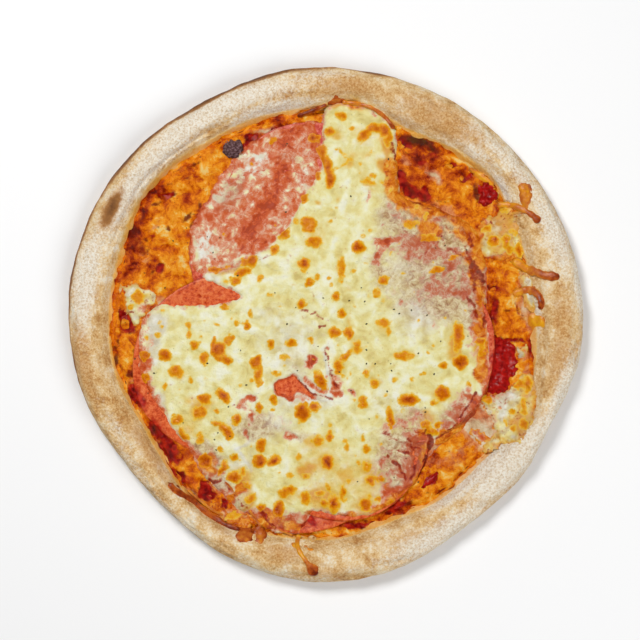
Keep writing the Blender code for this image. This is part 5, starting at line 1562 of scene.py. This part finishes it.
# Strands that ran over the edge of the toppings: width, height, swelling of the end, tones at the start,
# the middle and the end, and route. A tone is 0 for orange, 0.4 for tan, 0.8 for brown and 1 for dark.
strands = {
    "cheese_finger_upper": (5.2, 1.2, 1.0, (-0.1, 0.4, 0.75), [
        (109, 37), (113, 34.5), (117, 31.5), (121.5, 30.5), (126, 28), (131, 27.5), (135, 27)]),
    "cheese_finger_lower": (4.8, 1.2, 0.9, (0.15, 0.5, 0.8), [
        (109, 17), (113, 18.5), (116.5, 20), (120, 19.5), (123.2, 17), (125, 14), (125.2, 11),
        (124, 8.5)]),
    "cheese_string_lower_left": (4.6, 1.2, 0.9, (0.8, 0.65, 0.85), [
        (-90, -92), (-86, -97), (-79, -101.5), (-72, -106.5), (-66, -111.5), (-60, -115.5), (-54, -118),
        (-49, -119.5)]),
    "cheese_drip_bottom": (2.8, 0.9, 2.6, (0.1, 0.1, 0.95), [
        (-15, -122), (-16.5, -127), (-14.5, -132), (-11, -136.5), (-7.5, -141), (-4.5, -144.5)]),
}
smallStrands = [
    (3.6, 1.1, 1.2, (0.05, 0.4, 0.8), [
        (100, 69), (107, 69), (112, 67.5), (117, 64.5), (121, 61.5), (123.5, 58.5)]),
    (2.6, 1.0, 0.9, (0.15, 0.35, 0.65), [
        (10, 128.5), (17, 128), (25, 126.5), (32, 122.5), (37, 117.5), (40, 113)]),
    (2.4, 0.9, 0.9, (0.95, 0.85, 0.6), [(-16, 120.5), (-10, 122.5), (-4, 125), (1, 127)]),
    (1.5, 1.0, 1.0, (0.45, 0.35, 0.45), [
        (-58, -91), (-52, -98), (-46, -105), (-41, -112), (-37, -117.5)]),
    (1.6, 0.9, 1, (0.3, 0.25, 0.4), [(-80, -96), (-73, -102), (-66, -107.5), (-59, -111)]),
    (1.2, 0.6, 1, (0.4, 0.3, 0.3), [(-31, -117), (-25, -120), (-19, -122.5)]),
    (1.8, 1, 1, (0.5, 0.4, 0.45), [(62, -63), (69, -63), (75, -60), (79, -56.5)]),
]
# small browned clumps: tone, thickness and outline
crisps = [
    (0.75, 1.5, [
        (-51, -118.5), (-45, -118), (-40.5, -120.5), (-41.5, -125), (-47, -127.5), (-52, -123.5)]),
    (0.65, 1.4, [(-40, -118), (-36, -118), (-34, -122), (-35, -127.5), (-38, -128.5), (-40.5, -124)]),
    (0.75, 1, [(-92, -91), (-87, -92.5), (-83.5, -97.5), (-86, -99.5), (-90.5, -96.5)]),
    (0.25, 0.7, [(-19.5, -126), (-16, -125), (-15.5, -129), (-18.5, -130)]),
    (0.4, 0.8, [(-12.5, -128), (-6, -128.5), (-4.5, -131.5), (-10, -132)]),
    (0.55, 1.3, [(110.5, 82), (118.3, 82.5), (119.6, 75), (119, 65), (114, 64), (112.4, 70), (111, 75)]),
    (0.2, 1.4, [(117.5, 4.5), (121, 6.5), (125, 6), (127.4, 3), (126.4, -1), (122.5, -2.5), (119, -2)]),
    (0.65, 1.4, [(1.5, 128.5), (4.5, 132.5), (9, 132.5), (11.5, 129), (7, 127)]),
    (0.2, 0.7, [(82, 91.5), (90, 87.5), (96.5, 82.5), (98, 78), (95.5, 80), (89, 84.5)]),
]


strandSides = 18
strandRings = 56


def strandMesh(width, height, bulb, route):
    # a strand on the rim: a flattened round swept along a smooth route, its ends rounded, its end swollen
    path = smoothPath(route)
    steps = np.concatenate([[0.0], np.cumsum(np.hypot(*np.diff(path, axis=0).T))])
    t = 0.5 - 0.5 * np.cos(np.pi * np.linspace(0.02, 0.98, strandRings))
    x, y = (np.interp(t * steps[-1], steps, path[:, k]) for k in (0, 1))
    ground = np.maximum(sampled(surface, x, y) * (edgeAt(x, y) > -1.5), rimTop(x, y))
    z = ground + 0.3 * height
    tangent = np.gradient(np.stack([x, y, z], 1), axis=0)
    tangent /= np.linalg.norm(tangent, axis=1, keepdims=True)
    side = np.cross(tangent, [0.0, 0.0, 1.0])
    side /= np.linalg.norm(side, axis=1, keepdims=True)
    up = np.cross(side, tangent)
    uneven = latticeNoise(t * 9.0 + route[0][0], t * 0.0 + 2.5, 351)
    swell = 1.0 + (bulb - 1.0) * softStep((t - 0.6) / 0.3) + 0.34 * uneven
    ends = roundedEdge(np.minimum(t, 1.0 - t) * steps[-1] / (0.5 * width * swell))
    ends = np.maximum(ends, 0.1)
    angle = -circle(strandSides)
    wide = (0.5 * width * swell * ends)[:, None] * np.cos(angle)
    tall = (height * (0.7 + 0.3 * swell) * ends)[:, None] * np.where(np.sin(angle) > 0.0, 1.0, 0.5)
    tall = tall * np.sin(angle)
    points = np.stack([x, y, z], 1)[:, None, :]
    points = points + side[:, None, :] * wide[..., None] + up[:, None, :] * tall[..., None]
    return ringMesh(points[..., 0], points[..., 1], points[..., 2]), t


def strandParts(width, height, bulb, tones, route):
    # a strand's mesh, and its tone, browner on its back than along its sides
    mesh, t = strandMesh(width, height, bulb, route)
    back = np.clip(-np.sin(circle(strandSides)), 0.0, 1.0)
    return mesh, ringValues(np.interp(t, [0.0, 0.5, 1.0], tones)[:, None] + 0.4 * (back - 0.7))


def crispParts(shade, thickness, outline):
    # a small clump's mesh, and its tone, darkest along its edge
    mesh, used, _, _, inside = clumpMesh(outline, thickness, 0.4, 0.4)
    return mesh, shade + 0.05 - 0.3 * np.clip(inside / 2.0, 0.0, 1.0).ravel()[used]


def makeStrands():
    for node, one in strands.items():
        mesh, tone = strandParts(*one)
        addPiece(node.replace("_", ""), mesh, strandMaterial, [node], {"tone": tone})
    parts = [strandParts(*one) for one in smallStrands] + [crispParts(*one) for one in crisps]
    meshes, tones = zip(*parts)
    values = {"tone": np.concatenate(tones)}
    addPiece("smallStrands", joined(meshes), strandMaterial, [], values)


herbs = {
    "places": [
        (14, 13.5), (23, 13), (-22, 0), (-4, -13), (24, 0), (24, -15), (24, -23), (29, -23), (38, -23),
        (-16, -27), (-1, 15), (36, -39), (15, -38.5), (40, 8.5), (50, 8), (59, 5), (43, 6), (67, -10),
        (54, -17), (15, 74), (-29, 18), (21, 21), (-17, 9.5), (-63, -73), (-64, -67), (-62, -63),
        (-55, -65), (-99, -28.5), (58, -48.5), (40, -89), (47, -78), (-56, -48), (38.5, -27), (64, 44),
        (82, 43), (-61, 50), (108, -41), (109.5, -38.5),
    ],
    "scattered": 26, "seed": 91, "reach": 112.0, "size": (0.8, 1.5), "thickness": 0.3,
}


def makeHerbs():
    # flecks of dried herb on the cheese
    rng = np.random.default_rng(herbs["seed"])
    places = list(herbs["places"])
    for _ in range(herbs["scattered"]):
        angle = rng.random() * 2.0 * np.pi
        out = herbs["reach"] * math.sqrt(rng.random())
        places.append((out * math.cos(angle), out * math.sin(angle)))
    meshes = []
    for number, (x, y) in enumerate(places):
        z = max(heightAt(cheeseTop, x, y), heightAt(surface, x, y)) - 0.05
        size = rng.uniform(*herbs["size"])
        turn = rng.uniform(0.0, 180.0)
        thickness = herbs["thickness"]
        meshes.append(lumpMesh(x, y, z, size, 0.7 * size, thickness, turn, 700 + number, (14, 8)))
    return addPiece("herbs", joined(meshes), herbMaterial)


print("meshes")
makeCrust()
makeSauce()
makeUnderCheese()
for order, one in enumerate(slices):
    makeSlice(order, one)
makeUpperCheese()
makePatches()
makeTomatoPieces()
makeCharredBit()
makeStrands()
makeHerbs()

# The floor, the lights and the camera, with places in metres.
stage = {
    "floorShade": 0.88, "floorReach": 3.0,
    "camera": {"distance": 1.3, "seen": 0.3736, "x": -0.0029, "y": 0.0023},
    "lights": {
        "key": {"place": (-0.45, 0.6, 1.15), "size": 0.45, "power": 13.0},
        "fill": {"place": (0.65, -0.5, 1.0), "size": 1.0, "power": 9.0},
    },
    "skyStrength": 0.18,
}


def makeFloor():
    material = bpy.data.materials.new("floor")
    material.use_nodes = True
    sockets = material.node_tree.nodes["Principled BSDF"].inputs
    sockets["Base Color"].default_value = (stage["floorShade"],) * 3 + (1.0,)
    sockets["Roughness"].default_value = 0.9
    data = bpy.data.meshes.new("floor")
    far = stage["floorReach"]
    corners = [(-far, -far, 0.0), (far, -far, 0.0), (far, far, 0.0), (-far, far, 0.0)]
    data.from_pydata(corners, [], [(0, 1, 2, 3)])
    data.materials.append(material)
    floor = bpy.data.objects.new("floor", data)
    bpy.context.scene.collection.objects.link(floor)


def addLight(name, place, size, power):
    # a round area light turned to the middle of the pizza
    data = bpy.data.lights.new(name, "AREA")
    data.shape = "DISK"
    data.size = size
    data.energy = power
    light = bpy.data.objects.new(name, data)
    light.location = place
    x, y, z = place
    light.rotation_euler = (math.atan2(math.hypot(x, y), z), 0.0, math.atan2(x, -y))
    # only the key light is mirrored in the wet surfaces
    light.visible_glossy = name == "key"
    bpy.context.scene.collection.objects.link(light)


def makeCamera():
    # straight above, with the field of view that holds the pizza and its margin
    look = stage["camera"]
    data = bpy.data.cameras.new("camera")
    data.sensor_width = 36.0
    data.lens = 36.0 * look["distance"] / look["seen"]
    camera = bpy.data.objects.new("camera", data)
    camera.location = (look["x"], look["y"], look["distance"])
    bpy.context.scene.collection.objects.link(camera)
    bpy.context.scene.camera = camera


makeFloor()
for name, light in stage["lights"].items():
    addLight(name, **light)
world = bpy.data.worlds.new("studio")
world.use_nodes = True
sky = world.node_tree.nodes["Background"].inputs
sky["Color"].default_value = (1.0, 1.0, 1.0, 1.0)
sky["Strength"].default_value = stage["skyStrength"]
world.cycles_visibility.glossy = False
bpy.context.scene.world = world
bpy.context.scene.view_settings.view_transform = "Standard"
makeCamera()

print("done")
